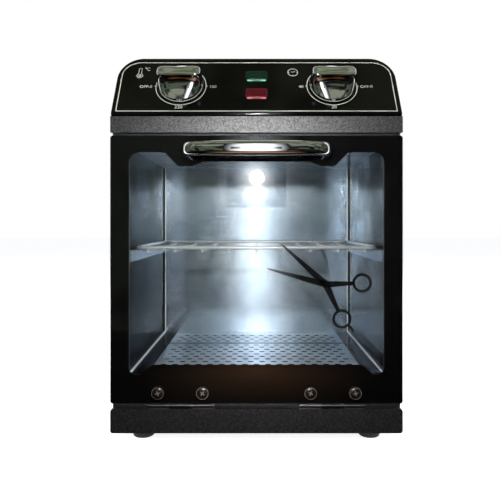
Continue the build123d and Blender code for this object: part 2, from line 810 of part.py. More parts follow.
# ---------------------------------------------------------------- door
mask_corner = 2.0
glass_width = body_width + 2 * glass_overhang
glass_bevel = 0.5
door_screw_places = [
    (side * (hinge_spacing + offset), door_screw_z) for side in (-1, 1) for offset in door_screw_offsets
]
handle_screw_places = [(-handle_pitch / 2, handle_z), (handle_pitch / 2, handle_z)]

with BuildSketch() as door_outline:
    with Locations((0, (glass_bottom + glass_top) / 2)):
        RectangleRounded(glass_width, door_height, mask_corner)
    with Locations(*door_screw_places):
        flats(screw_radius + screw_clearance, Mode.SUBTRACT)
    with Locations(*handle_screw_places):
        flats(handle_screw_radius + screw_clearance, Mode.SUBTRACT)

with BuildPart() as door_glass:
    with BuildSketch(upright(glass_thickness)):
        add(door_outline.sketch)
    extrude(amount=glass_thickness)
    chamfer(door_glass.faces().sort_by(Axis.Y)[0].outer_wire().edges(), glass_bevel)
door_glass.part.label = "door_glass"
export_step(door_glass.part, "parts/door_glass.step")

# Window in the printed border. Its upper edge dips in a lobe round each end of the handle, and
# its lower edge is raised to a sill between the two lower corners.
window_half = chamber_width / 2
lintel_print = 4.1
floor_print = 0.6
sill_rise = 7.5
sill_slope = 8.5
corner_run = 8.8
window_top = chamber_ceiling - lintel_print
window_foot = chamber_floor + floor_print
lobe_inset = 2.5  # handle's end to the lobe's middle
lobe_drop = 10.6
lobe_half = 5.2
lobe_slope = (8.9, 9.9)
lobe_rise = 3.3
lobe_middle = handle_length / 2 - lobe_inset
lobe_foot = handle_z - lobe_drop
right_half = [
    (lobe_middle - lobe_half - lobe_slope[0], lobe_foot + lobe_rise),
    (lobe_middle - lobe_half, lobe_foot),
    (lobe_middle + lobe_half, lobe_foot),
    (lobe_middle + lobe_half + lobe_slope[1], window_top),
    (window_half, window_top),
    (window_half, window_foot),
    (window_half - corner_run, window_foot),
    (window_half - corner_run - sill_slope, window_foot + sill_rise),
]
right_radii = [3.0, 3.0, 3.0, 4.0, 8.0, 5.0, 3.0, 3.0]
window_points = right_half + [(-x, z) for x, z in reversed(right_half)]
window_radii = right_radii + right_radii[::-1]

with BuildPart() as door_mask:
    with BuildSketch(upright(mask_back)):
        add(door_outline.sketch)
        with BuildLine():
            FilletPolyline(*window_points, radius=window_radii, close=True)
        make_face(mode=Mode.SUBTRACT)
    extrude(amount=mask_thickness)
door_mask.part.label = "door_mask"
export_step(door_mask.part, "parts/door_mask.step")

with BuildPart() as door_screws:
    with BuildSketch(upright(0)):
        with Locations(*door_screw_places):
            RegularPolygon(screw_head_radius, large_head_sides)
    extrude(amount=screw_head_height)
    chamfer(door_screws.faces().filter_by(Axis.Y).group_by(Axis.Y)[0].edges(), screw_head_bevel)
    with BuildSketch(upright(mask_back + leaf_thickness)):
        with Locations(*door_screw_places):
            flats(screw_radius)
    extrude(amount=mask_back + leaf_thickness)
door_screws.part.label = "door_screws"
export_step(door_screws.part, "parts/door_screws.step")

handle_half = handle_length / 2
handle_neck = 38.0
handle_crown = 1.5
handle_thread_depth = 9.0
handle_toe = 1.0
handle_bevel = 2.4
handle_throat = 14.0  # neck to the start of the inner bar
throat_bulge = (4.5, 4.0)
tap_gap = 0.02

with BuildPart() as door_handle:
    shoulder_y = front_y - handle_depth + handle_crown
    inner_y = shoulder_y + handle_bar
    with BuildSketch(Plane.XY.offset(handle_z - handle_height / 2)):
        with BuildLine():
            ThreePointArc((-handle_neck, shoulder_y), (0, front_y - handle_depth), (handle_neck, shoulder_y))
            for end in (-1, 1):
                neck = (end * handle_neck, shoulder_y)
                toe = (end * handle_half, front_y - handle_toe)
                TangentArc(neck, toe, tangent=(end, 0.07))
                Polyline(toe, (end * handle_half, front_y), (end * handle_neck, front_y))
                throat = (end * (handle_neck - handle_throat), inner_y)
                inside = (end * (handle_neck - throat_bulge[0]), inner_y + throat_bulge[1])
                ThreePointArc((end * handle_neck, front_y), inside, throat)
            ThreePointArc(
                (handle_neck - handle_throat, inner_y),
                (0, inner_y - handle_crown),
                (handle_throat - handle_neck, inner_y),
            )
        make_face()
    extrude(amount=handle_height)
    flat_faces = door_handle.faces().filter_by(Axis.Z)
    chamfer([edge for edge in flat_faces.edges() if edge.center().Y < front_y - 0.01], handle_bevel)
    with BuildSketch(upright(0)):
        with Locations(*handle_screw_places):
            flats(handle_screw_radius + tap_gap)
    extrude(amount=handle_thread_depth, mode=Mode.SUBTRACT)
door_handle.part.label = "door_handle"
export_step(door_handle.part, "parts/door_handle.step")

handle_head = (3.8, 2.0)  # radius and height

with BuildPart() as handle_screws:
    with BuildSketch(upright(mask_back)):
        with Locations(*handle_screw_places):
            flats(handle_screw_radius)
    extrude(amount=mask_back + handle_thread_depth - 1)
    with BuildSketch(upright(mask_back)):
        with Locations(*handle_screw_places):
            RegularPolygon(handle_head[0], head_sides)
    extrude(amount=-handle_head[1])
handle_screws.part.label = "handle_screws"
export_step(handle_screws.part, "parts/handle_screws.step")

# ---------------------------------------------------------------- hinges
knuckle_pitch = hinge_width / knuckle_count
knuckle_length = knuckle_pitch - knuckle_gap
web_half = 0.6
knuckle_bore = pin_radius + running_gap
leaf_past_screw = 6.8
leaf_top = door_screw_z + leaf_past_screw
leaf_clearance = 0.6


def knuckle_box(x_middle, depths, heights):
    """Flat metal in the current part, one knuckle wide."""
    level_box(knuckle_length, depths, heights, x_middle)


for side, name in ((-1, "left"), (1, "right")):
    middle = side * hinge_spacing
    first_knuckle = middle - (knuckle_count - 1) / 2 * knuckle_pitch
    knuckle_middles = [first_knuckle + i * knuckle_pitch for i in range(knuckle_count)]
    door_knuckles = knuckle_middles[1::2]
    case_knuckles = knuckle_middles[0::2]
    barrel_place = (front_y + hinge_depth, hinge_z)

    with BuildPart() as door_leaf:
        leaf_depths = (mask_back, mask_back + leaf_thickness)
        level_box(hinge_width, leaf_depths, (hinge_z + web_half + leaf_clearance, leaf_top), middle)
        for x in door_knuckles:
            knuckle_box(x, (hinge_depth, leaf_depths[1]), (hinge_z - web_half, hinge_z + web_half))
            knuckle_box(x, leaf_depths, (hinge_z, leaf_top))
            with BuildSketch(Plane.YZ.offset(x)):
                with Locations(barrel_place):
                    Circle(knuckle_radius)
            extrude(amount=knuckle_length / 2, both=True)
        with BuildSketch(Plane.YZ.offset(middle)):
            with Locations(barrel_place):
                Circle(knuckle_bore)
        extrude(amount=hinge_width, both=True, mode=Mode.SUBTRACT)
        with BuildSketch(upright(mask_back + leaf_thickness)):
            with Locations(*door_screw_places):
                flats(screw_radius + tap_gap)
        extrude(amount=leaf_thickness, mode=Mode.SUBTRACT)
    door_leaf.part.label = f"{name}_hinge_door_leaf"
    export_step(door_leaf.part, f"parts/{name}_hinge_door_leaf.step")

    with BuildPart() as case_leaf:
        leaf_start = hinge_depth + knuckle_radius + fit_gap
        level_box(hinge_width, (leaf_start, apron_shelf), (apron_top, apron_top + leaf_sheet), middle)
        for x in case_knuckles:
            knuckle_box(x, (hinge_depth, leaf_start), (apron_top, apron_top + leaf_sheet))
            web_depths = (hinge_depth - web_half, hinge_depth + web_half)
            knuckle_box(x, web_depths, (apron_top, hinge_z))
            with BuildSketch(Plane.YZ.offset(x)):
                with Locations(barrel_place):
                    Circle(knuckle_radius)
            extrude(amount=knuckle_length / 2, both=True)
        with BuildSketch(Plane.YZ.offset(middle)):
            with Locations(barrel_place):
                Circle(knuckle_bore)
        extrude(amount=hinge_width, both=True, mode=Mode.SUBTRACT)
        with BuildSketch(Plane.XY.offset(apron_top)):
            with Locations(*hinge_screw_places):
                flats(small_screw_radius)
        extrude(amount=leaf_sheet, mode=Mode.SUBTRACT)
    case_leaf.part.label = f"{name}_hinge_case_leaf"
    export_step(case_leaf.part, f"parts/{name}_hinge_case_leaf.step")

    with BuildPart() as hinge_pin:
        with BuildSketch(Plane.YZ.offset(middle)):
            with Locations(barrel_place):
                Circle(pin_radius)
        extrude(amount=hinge_width / 2, both=True)
    hinge_pin.part.label = f"{name}_hinge_pin"
    export_step(hinge_pin.part, f"parts/{name}_hinge_pin.step")

# ---------------------------------------------------------------- feet and small fasteners
foot_taper = 1.5
foot_pocket = 4.6  # corner radius of the hexagon that keeps the screw's head from turning
foot_seat = 6.0

for number, (x, y) in enumerate(foot_places):
    with BuildPart() as foot:
        with BuildSketch(Plane.XZ):
            with BuildLine():
                Polyline(
                    (0, foot_height),
                    (foot_radius, foot_height),
                    (foot_radius - foot_taper, 0),
                    (0, 0),
                    close=True,
                )
            make_face()
        revolve(axis=Axis.Z)
        with BuildSketch(Plane.XY):
            flats(foot_pocket)
        extrude(amount=foot_seat, mode=Mode.SUBTRACT)
        with BuildSketch(Plane.XY):
            flats(screw_radius)
        extrude(amount=foot_height, mode=Mode.SUBTRACT)
    name = ("left_front", "left_rear", "right_front", "right_rear")[number] + "_foot"
    placed = Pos(x, y, 0) * foot.part
    placed.label = name
    export_step(placed, f"parts/{name}.step")

foot_head_height = 2.6
foot_head_gap = 0.5
foot_screw_past = 3.0  # shank past the tray

with BuildPart() as foot_screws:
    with BuildSketch(Plane.XY.offset(foot_seat)):
        with Locations(*foot_places):
            flats(foot_pocket - foot_head_gap)
    extrude(amount=-foot_head_height)
    with BuildSketch(Plane.XY.offset(foot_seat)):
        with Locations(*foot_places):
            flats(foot_screw_radius)
    extrude(amount=foot_height - foot_seat + sheet + foot_screw_past)
foot_screws.part.label = "foot_screws"
export_step(foot_screws.part, "parts/foot_screws.step")

# Sheet screws: heads lie out of their seat plane and shanks go into it. Heads are radius and height.
base_head = (2.3, 1.6)
hinge_head = (2.6, 1.6)
rear_head = (3.2, 1.7)
small_screw_length = 5.0
rear_screw_length = 6.0
under_base = Plane(origin=(0, 0, foot_height), x_dir=(1, 0, 0), z_dir=(0, 0, -1))
mirrored_places = [(x, -y) for x, y in base_screw_places]
hinge_seat = Plane.XY.offset(apron_top + leaf_sheet)
rear_seat = Plane(origin=(0, rear_y, 0), x_dir=(-1, 0, 0), z_dir=(0, 1, 0))
for name, seat, places, head, shank_radius, shank_length in (
    ("base_screws", under_base, mirrored_places, base_head, small_screw_radius, small_screw_length),
    ("hinge_screws", hinge_seat, hinge_screw_places, hinge_head, small_screw_radius, small_screw_length),
    ("rear_screws", rear_seat, rear_screw_places, rear_head, rear_screw_radius, rear_screw_length),
):
    with BuildPart() as screws:
        with BuildSketch(seat):
            with Locations(*places):
                RegularPolygon(head[0], head_sides)
        extrude(amount=head[1])
        with BuildSketch(seat):
            with Locations(*places):
                flats(shank_radius - thread_gap)
        extrude(amount=-shank_length)
    screws.part.label = name
    export_step(screws.part, f"parts/{name}.step")
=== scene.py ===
# %% [markdown]
# # A table-top dry heat sterilizer
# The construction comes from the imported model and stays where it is. This lesson gives it its looks:
# finishes for the sheets and mouldings, and finer surfaces for what the eye is drawn to, such as the
# chrome dials, the bow handle, the perforated chamber and the printed door.
# Everything is in metres. The door faces -Y, +X is to the right and +Z is up.

# %% Load the fixed frame
import math

import bpy
import numpy as np
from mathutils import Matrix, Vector


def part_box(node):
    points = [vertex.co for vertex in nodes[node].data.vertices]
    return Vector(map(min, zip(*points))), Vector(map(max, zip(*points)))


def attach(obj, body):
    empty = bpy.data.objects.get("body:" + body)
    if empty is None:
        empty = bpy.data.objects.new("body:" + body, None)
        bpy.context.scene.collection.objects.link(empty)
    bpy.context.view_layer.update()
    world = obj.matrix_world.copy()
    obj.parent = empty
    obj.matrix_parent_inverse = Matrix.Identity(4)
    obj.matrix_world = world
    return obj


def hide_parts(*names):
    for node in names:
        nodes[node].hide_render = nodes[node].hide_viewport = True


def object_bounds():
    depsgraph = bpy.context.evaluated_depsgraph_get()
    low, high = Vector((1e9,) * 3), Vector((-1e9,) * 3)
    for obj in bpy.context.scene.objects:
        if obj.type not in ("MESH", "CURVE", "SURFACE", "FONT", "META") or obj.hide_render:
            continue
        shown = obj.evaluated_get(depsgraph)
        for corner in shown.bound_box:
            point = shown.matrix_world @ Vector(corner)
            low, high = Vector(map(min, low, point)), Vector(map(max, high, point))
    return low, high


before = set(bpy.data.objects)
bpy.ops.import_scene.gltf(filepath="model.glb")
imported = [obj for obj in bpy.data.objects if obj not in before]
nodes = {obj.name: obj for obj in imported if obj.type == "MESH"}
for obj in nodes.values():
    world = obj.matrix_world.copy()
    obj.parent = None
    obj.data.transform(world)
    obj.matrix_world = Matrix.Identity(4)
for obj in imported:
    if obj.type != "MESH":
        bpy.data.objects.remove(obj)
cad_low, cad_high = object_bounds()

# %% [markdown]
# ## Sizes
# The pieces that are made here sit on the model's own parts, so their places are read from its boxes.
# Only small sizes that the model doesn't hold, such as the width of a printed line, are written here.

# %% Sizes read from the model
MM = 0.001
door_low, door_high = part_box("door_glass")
front = door_low.y
glass_back = door_high.y
half_width = (door_high.x - door_low.x) / 2
table = cad_low.z
case_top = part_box("outer_shell")[1].z
panel_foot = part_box("head_band")[1].z
slope = math.radians(60)
print(f"front at {front:.4f}, half width {half_width:.4f}, top {case_top:.4f}")

# %% [markdown]
# ## Camera
# The cabinet is seen square from the front and from close by, a little above its middle: the side walls
# of the chamber run steeply inwards. A level camera keeps the uprights upright, so the rest of the
# framing is a small shift of the lens and no tilt.

# %% Camera
def show(name, data):
    """A new object in the scene that holds this data."""
    made = bpy.data.objects.new(name, data)
    bpy.context.scene.collection.objects.link(made)
    return made


view_distance = 380 * MM
eye_height = 170.4 * MM
camera_data = bpy.data.cameras.new("camera")
camera_data.lens = 36.4
camera_data.sensor_width = 36.0
camera_data.shift_x = -0.013
camera_data.shift_y = -0.052
camera_data.clip_start = 0.01
camera = show("camera", camera_data)
camera.location = (0.0, front - view_distance, eye_height)
camera.rotation_euler = (math.radians(90), 0.0, 0.0)
bpy.context.scene.camera = camera
bpy.context.scene.view_settings.view_transform = "Standard"
print("camera at", tuple(round(x, 4) for x in camera.location))

# %% [markdown]
# ## Light
# A small lamp just above the lens gives the tight highlights on glass, chrome and powder coat. Wide
# soft panels light the room from above, from the sides and from behind. Mirrors don't see the panels:
# what chrome, glass and polished steel show is the small lamp and the cards that stand round the room.

# %% Lamps
def lamp(name, place, power, size, seen_in_mirrors=False):
    """Area lamp at a place, turned towards the cabinet's middle; size in metres."""
    data = bpy.data.lights.new(name, "AREA")
    data.shape = "DISK"
    data.size = size
    data.energy = power
    made = show(name, data)
    made.location = place
    aim = Vector((0.0, 0.0, case_top / 2)) - Vector(place)
    made.rotation_euler = aim.to_track_quat("-Z", "Y").to_euler()
    made.visible_glossy = seen_in_mirrors


lens_lamp_place = (0.0, front - view_distance, eye_height + 70 * MM)
panel_power, panel_size = 5.0, 0.7
lamp("lens_lamp", lens_lamp_place, 1.45, 20 * MM, seen_in_mirrors=True)
lamp("left_panel", (-0.95, 0.15, 0.55), panel_power, panel_size)
lamp("right_panel", (0.95, 0.15, 0.55), panel_power, panel_size)
lamp("top_panel", (0.0, 0.15, 1.1), 7.0, 0.9)
lamp("rear_panel", (0.3, 1.1, 0.6), panel_power, panel_size)

# %% [markdown]
# ## Shader maths in Python
# A finish is easier to read as a formula than as a web of nodes. This class wraps one output socket:
# an expression on it adds the Math nodes that work it out, and any other node comes from `add`.

# %% A socket that takes part in expressions
class Wire:
    """An output socket of a node tree. Operators on it add Math nodes to the same tree."""

    def __init__(self, tree, socket=None):
        self.tree = tree
        self.socket = socket

    def add(self, kind, settings=None, inputs=None, output=0):
        """Adds a node, sets its settings, then fills its sockets with values or wires."""
        node = self.tree.nodes.new(kind)
        for key, value in (settings or {}).items():
            setattr(node, key, value)
        for key, value in (inputs or {}).items():
            self.plug(value, node.inputs[key])
        return Wire(self.tree, node.outputs[output])

    def plug(self, value, target):
        """Links a wire to the target socket, or sets a plain value on it."""
        if isinstance(value, Wire):
            self.tree.links.new(value.socket, target)
        else:
            target.default_value = value

    def maths(self, operation, *values):
        """A number worked out from these numbers or wires."""
        return self.add("ShaderNodeMath", {"operation": operation}, dict(enumerate(values)))

    def vectors(self, operation, *values, output=0):
        """A vector worked out from these vectors, or with the output Value a number."""
        return self.add("ShaderNodeVectorMath", {"operation": operation}, dict(enumerate(values)), output)

    def axis(self, letter):
        """One coordinate of this vector."""
        return self.add("ShaderNodeSeparateXYZ", inputs={"Vector": self}, output=letter)

    def size(self):
        """This value without its sign."""
        return self.maths("ABSOLUTE", self)

    def __add__(self, other):
        return self.maths("ADD", self, other)

    __radd__ = __add__

    def __sub__(self, other):
        return self.maths("SUBTRACT", self, other)

    def __rsub__(self, other):
        return self.maths("SUBTRACT", other, self)

    def __mul__(self, other):
        return self.maths("MULTIPLY", self, other)

    __rmul__ = __mul__

    def power(self, exponent):
        return self.maths("POWER", self, exponent)

    def wave(self, pitch):
        """0 to 1 and back along this value, once per pitch."""
        return 0.5 + 0.5 * self.maths("SINE", self * (2 * math.pi / pitch))

    def between(self, low, high):
        """0 below low, 1 above high, smooth in between."""
        settings = {"interpolation_type": "SMOOTHSTEP", "clamp": True}
        return self.add("ShaderNodeMapRange", settings, {"Value": self, "From Min": low, "From Max": high})

    def tint(self, low_colour, high_colour):
        """Mixes two colours by this value."""
        inputs = {0: self, 6: (*low_colour, 1.0), 7: (*high_colour, 1.0)}
        return self.add("ShaderNodeMix", {"data_type": "RGBA"}, inputs, output=2)


# %% A blank finish, its noise and its bumps
def blank(name, **constants):
    """A material with one Principled shader. Returns it, the shader and the Object coordinates."""
    material = bpy.data.materials.new(name)
    material.use_nodes = True
    tree = material.node_tree
    shader = tree.nodes["Principled BSDF"]
    for key, value in constants.items():
        shader.inputs[key.replace("_", " ")].default_value = value
    place = Wire(tree).add("ShaderNodeTexCoord", output="Object")
    return material, shader, place


def noise(place, scale, detail=2.0, stretch=(1.0, 1.0, 1.0)):
    """Fractal noise from 0 to 1 on the object's coordinates; scale in patches per metre."""
    spread = place.add("ShaderNodeMapping", inputs={"Vector": place, "Scale": stretch})
    inputs = {"Vector": spread, "Scale": scale, "Detail": detail}
    return place.add("ShaderNodeTexNoise", {"noise_dimensions": "3D"}, inputs)


def bump(height, distance, strength=1.0):
    """Bump from a height of 0 to 1 that stands for this distance in metres."""
    inputs = {"Height": height, "Distance": distance, "Strength": strength}
    return height.add("ShaderNodeBump", inputs=inputs)


def feed(shader, **wires):
    """Links wires to a shader's sockets, whose names are written with _ for a space."""
    for key, wire in wires.items():
        wire.plug(wire, shader.inputs[key.replace("_", " ")])


def surface(material, wire):
    """Makes this shader what the material shows."""
    wire.plug(wire, material.node_tree.nodes["Material Output"].inputs["Surface"])


def dress(material, *names):
    """Gives these CAD nodes one finish."""
    for name in names:
        nodes[name].data.materials.clear()
        nodes[name].data.materials.append(material)
    print(material.name, "on", ", ".join(names))


# %% [markdown]
# ## Powder coat
# The case is folded steel with a fine textured powder coat. Close to a lamp each grain catches a spark of
# light, and away from it the paint falls to near black. A bump of two grain sizes does that, under a
# clear coat that lies in patches as fine as the grain; flat dark paint alone would look like card.

# %% Powder coat
def powder_coat():
    """Near black paint whose shade, bump and glossy patches all follow one grain and its clumps."""
    material, shader, place = blank("powder_coat", Specular_IOR_Level=0.6, Coat_Roughness=0.36, Coat_IOR=1.8)
    grain = noise(place, 1250.0, 2.0)
    clump = noise(place, 480.0, 2.0)
    patina = noise(place, 9.0, 3.0)
    shade = (0.6 * grain + 0.4 * patina).between(0.3, 0.75)
    feed(
        shader,
        Base_Color=shade.tint((0.0030, 0.0027, 0.0032), (0.0085, 0.0080, 0.0098)),
        Roughness=0.36 + 0.10 * clump,
        Coat_Weight=0.8 * (0.75 * grain + 0.25 * clump).between(0.42, 0.62),
        Normal=bump(0.7 * grain + 0.3 * clump, 0.16 * MM),
    )
    return material


dress(powder_coat(), "outer_shell", "base_pan", "head_band", "rear_cover")


# %% [markdown]
# ## Gloss black
# The sloped panel is a polished black moulding, nearly a mirror with a faint wiping haze. The door's
# border is dull black print: its gloss comes from the glass that lies over it.

# %% Gloss black
def near_black(name, haze, specular):
    """Black whose shade and roughness follow long wiping marks; haze is the lowest roughness."""
    material, shader, place = blank(name, Specular_IOR_Level=specular)
    wipe = noise(place, 14.0, 4.0, (1.0, 1.0, 3.0))
    colour = wipe.between(0.3, 0.8).tint((0.0008, 0.0007, 0.0008), (0.0020, 0.0018, 0.0020))
    feed(shader, Base_Color=colour, Roughness=haze + 0.05 * wipe)
    return material


dress(near_black("panel_black", 0.07, 0.25), "control_panel")
dress(near_black("door_print_black", 0.60, 0.05), "door_mask")


# %% [markdown]
# ## Door glass
# Clear tempered glass, faintly green where it is seen edge on. Light that falls through the pane onto
# what is behind it passes straight on: the shader turns transparent for shadow rays only.

# %% Door glass
def clear_glass():
    """Refracting glass with faint wiping smears, mixed with a transparent shader for shadow rays."""
    green = (0.965, 0.985, 0.975, 1.0)
    material, shader, place = blank("door_glass_clear", Transmission_Weight=1.0, IOR=1.5, Base_Color=green)
    smear = noise(place, 30.0, 3.0, (1.0, 1.0, 2.0))
    feed(shader, Roughness=0.012 * smear.between(0.55, 0.9))
    is_shadow = place.add("ShaderNodeLightPath", output="Is Shadow Ray")
    glass = Wire(place.tree, shader.outputs[0])
    clear = place.add("ShaderNodeBsdfTransparent", inputs={"Color": (0.90, 0.92, 0.91, 1.0)})
    surface(material, place.add("ShaderNodeMixShader", inputs={0: is_shadow, 1: glass, 2: clear}))
    return material


dress(clear_glass(), "door_glass")


# %% [markdown]
# ## Stainless lining
# The chamber is lined with bright rolled steel. It is nearly a mirror: the back wall shows the
# perforated floor once more, upside down. Rolling and wiping leave thin level lines on it, and they
# draw what it mirrors out upwards. One shader can't be sharp and drawn out at once, so the finish
# mixes three: a mirror, a second one whose normal leans up and down line by line, and a soft glow.
# Painted shade darkens the side panels towards the floor, and steel seen at a flat angle would hide it,
# so their reflection there is held down too. The left panel is painted as a shaded copy and the right as a
# lit one.

# %% Parts of the steel finish
def brushed_normal(place, lean=1.7):
    """The surface's normal, leaned up or down by noise in thin level lines."""
    lines = noise(place, 9000.0, 1.0, (0.006, 0.006, 1.0))
    flat = place.add("ShaderNodeNewGeometry", output="Normal")
    tilt = place.add("ShaderNodeCombineXYZ", inputs={"Z": lean * (lines - 0.5)})
    total = place.vectors("ADD", flat, tilt)
    return total.vectors("NORMALIZE", total)


def shaded_slot_edges(colour):
    """Level faces keep the colour, and upright faces, which are the edges of slots, turn near black: painted
    shade in the slots.
    """
    upwards = colour.add("ShaderNodeNewGeometry", output="True Normal").axis("Z")
    inputs = {0: upwards.size().between(0.3, 0.6), 6: (0.004, 0.004, 0.005, 1.0), 7: colour}
    return colour.add("ShaderNodeMix", {"data_type": "RGBA"}, inputs, output=2)


# %% Stainless lining
def bright_steel(name, scratch_axes, dark, light, blur=0.09, broad=0.13, streak=0.40, shade_top=MM,
                 edge=1.0, shaded_slots=False):
    """A mirror with this blur, its brushed copy by the share of streak, and a soft one by broad.

    The colour goes from dark to light in clouds, and painted shade darkens it towards the floor, below
    the height shade_top. Edge is the share of the reflection that is left at a flat angle.
    """
    grazing = (edge, edge, edge, 1.0)
    material, shader, place = blank(name, Metallic=1.0, Specular_Tint=grazing)
    scratch = noise(place, 1500.0, 2.0, scratch_axes)
    cloud = noise(place, 16.0, 3.0)
    speck = noise(place, 330.0, 2.0)
    # Painted shade: the colour darkens with the height below shade_top, towards the floor.
    tone_and_shade = cloud.between(0.35, 0.68) * place.axis("Z").between(0.3 * shade_top, shade_top)
    colour = tone_and_shade.tint(dark, light)
    # Painted shade: the walls of the slots turn near black.
    if shaded_slots:
        colour = shaded_slot_edges(colour)
    lean = bump(0.85 * scratch.between(0.50, 0.80) + 0.15 * cloud, 0.03 * MM)
    feed(shader, Base_Color=colour, Roughness=blur + 0.04 * cloud + 0.03 * speck, Normal=lean)
    mirror = Wire(place.tree, shader.outputs[0])
    metal = {"Base Color": colour, "Metallic": 1.0, "Specular Tint": grazing}
    brushed = {**metal, "Roughness": 0.11, "Normal": brushed_normal(place)}
    brushed = place.add("ShaderNodeBsdfPrincipled", inputs=brushed)
    soft = place.add("ShaderNodeBsdfPrincipled", inputs={**metal, "Roughness": 0.46, "Normal": lean})
    mirror = place.add("ShaderNodeMixShader", inputs={0: streak, 1: mirror, 2: brushed})
    surface(material, place.add("ShaderNodeMixShader", inputs={0: broad, 1: mirror, 2: soft}))
    return material


# %% Steel sheets
level_lines, upright_lines, rolled_across = (0.02, 0.02, 1.0), (1.0, 0.02, 0.02), (0.02, 1.0, 1.0)
wall_colours = (0.36, 0.44, 0.54), (0.60, 0.67, 0.77)
# Painted light: the side panels are one steel, the left given shaded colours and the right lit ones.
shaded_left_colours = (0.028, 0.034, 0.047), (0.30, 0.345, 0.40)
lit_right_colours = (0.028, 0.034, 0.047), (0.92, 0.96, 1.0)
plate_colours = (0.50, 0.57, 0.66), (0.80, 0.86, 0.94)
lining_steel = bright_steel("lining_steel", level_lines, *wall_colours)
shaded_left_steel = bright_steel(
    "shaded_left_steel", upright_lines, *shaded_left_colours, blur=0.07, broad=0.14, streak=0.45, shade_top=0.23, edge=0.45
)
lit_right_steel = bright_steel(
    "lit_right_steel", upright_lines, *lit_right_colours, blur=0.07, broad=0.09, streak=0.28, shade_top=0.22, edge=0.8
)
plate_steel = bright_steel(
    "plate_steel", rolled_across, *plate_colours, blur=0.16, broad=0.34, streak=0.0, shaded_slots=True
)
rail_steel = bright_steel("rail_steel", rolled_across, *wall_colours, blur=0.10, broad=0.20, streak=0.0)
dress(lining_steel, "chamber_liner")
dress(shaded_left_steel, "left_side_panel")
dress(lit_right_steel, "right_side_panel")
dress(rail_steel, "left_rack_rail", "right_rack_rail")


# %% [markdown]
# ## Chrome, screws and brass
# Chrome plate is a clean mirror with the faintest ripple from the casting under it. Screws are duller
# plated steel, those of the door are blackened, and those under the base are brass coloured.

# %% Plated metals
def plated(name, colour, roughness, ripple=0.1 * MM, metallic=1.0):
    """Metal whose colour, roughness and bump follow one slow ripple of this depth."""
    material, shader, place = blank(name, Metallic=metallic)
    waves = noise(place, 60.0, 2.0)
    shade = waves.tint(colour, tuple(0.92 * c for c in colour))
    feed(shader, Base_Color=shade, Roughness=roughness + 0.03 * waves, Normal=bump(waves, ripple, 0.3))
    return material


chrome = plated("chrome_plate", (0.80, 0.81, 0.82), 0.03, 0.2 * MM)
rack_chrome = plated("rack_plate", (0.84, 0.84, 0.85), 0.20, 0.2 * MM, 0.80)
screw_steel = plated("screw_plate", (0.62, 0.61, 0.60), 0.18)
door_screw_plate = plated("door_screw_plate", (0.085, 0.075, 0.070), 0.30)
# Bright metal for the painted glints on the door screws' crosses and rims.
glint_plate = plated("screw_glint_plate", (0.72, 0.70, 0.68), 0.38)
brass = plated("brass_plate", (0.72, 0.50, 0.26), 0.22)
dress(
    screw_steel, "handle_screws", "hinge_screws", "foot_screws", "rear_screws",
    "left_hinge_pin", "right_hinge_pin", "temperature_spindle", "timer_spindle",
)
dress(brass, "control_nuts", "inlet_blades")
hinge_leaves = [f"{side}_hinge_{part}_leaf" for side in ("left", "right") for part in ("door", "case")]
dress(plated("hinge_plate", (0.10, 0.095, 0.10), 0.35, 0.2 * MM), *hinge_leaves, "catch_strike")


# %% [markdown]
# ## Rubber, plastics and what is inside
# The feet and the door seal are dull black rubber. Inside, the heater sheaths are dark from heat, the
# insulation is a pale wool blanket and the brackets are galvanised.

# %% Dull finishes
def dull(name, dark, light, roughness, grain_scale, depth=0.1 * MM, metallic=0.0):
    """Finish whose shade, roughness and bump follow one grain; scale in grains per metre."""
    material, shader, place = blank(name, Metallic=metallic)
    grain = noise(place, grain_scale, 4.0)
    shade = grain.between(0.3, 0.7).tint(dark, light)
    feed(shader, Base_Color=shade, Roughness=roughness + 0.1 * grain, Normal=bump(grain, depth, 0.6))
    return material


rubber = dull("foot_rubber", (0.006, 0.006, 0.007), (0.014, 0.014, 0.015), 0.62, 900.0, 0.2 * MM)
dress(dull("seal_rubber", (0.012, 0.012, 0.013), (0.022, 0.022, 0.023), 0.5, 700.0), "door_gasket")
dress(dull("frame_paint", (0.008, 0.008, 0.009), (0.014, 0.014, 0.016), 0.4, 900.0, 0.2 * MM), "front_frame")
dress(dull("inlet_plastic", (0.012, 0.012, 0.013), (0.02, 0.02, 0.022), 0.45, 1200.0),
      "power_inlet", "run_lamp_body", "power_lamp_body")
dress(dull("terminal_plastic", (0.60, 0.60, 0.56), (0.72, 0.72, 0.68), 0.5, 500.0),
      "terminal_block", "thermal_cutout")
dress(dull("ferrite", (0.03, 0.03, 0.032), (0.06, 0.06, 0.06), 0.6, 800.0, 0.2 * MM), "door_catch")
dress(dull("heater_sheath", (0.10, 0.10, 0.11), (0.22, 0.21, 0.20), 0.4, 200.0, 0.2 * MM, 1.0),
      "lower_heater", "upper_heater", "thermostat_bulb")
wool = dull("wool_blanket", (0.52, 0.49, 0.40), (0.78, 0.75, 0.66), 0.95, 260.0, 1.5 * MM)
dress(wool, "insulation_jacket")
dress(dull("galvanised_sheet", (0.36, 0.37, 0.38), (0.60, 0.61, 0.62), 0.35, 90.0, metallic=1.0),
      "heater_clips", "thermostat_body", "timer_body")
dress(dull("heated_sheet", (0.020, 0.019, 0.020), (0.050, 0.046, 0.045), 0.5, 60.0), "heat_shield")

# %% [markdown]
# ## From arrays to pieces
# Every fine piece below starts as an array of points worked out in one go. Most are stacks of rings: a
# ring is one closed outline, and the surface runs from each ring to the next. These helpers join such
# a stack into faces, close it, turn its faces outwards and hand it to Blender.

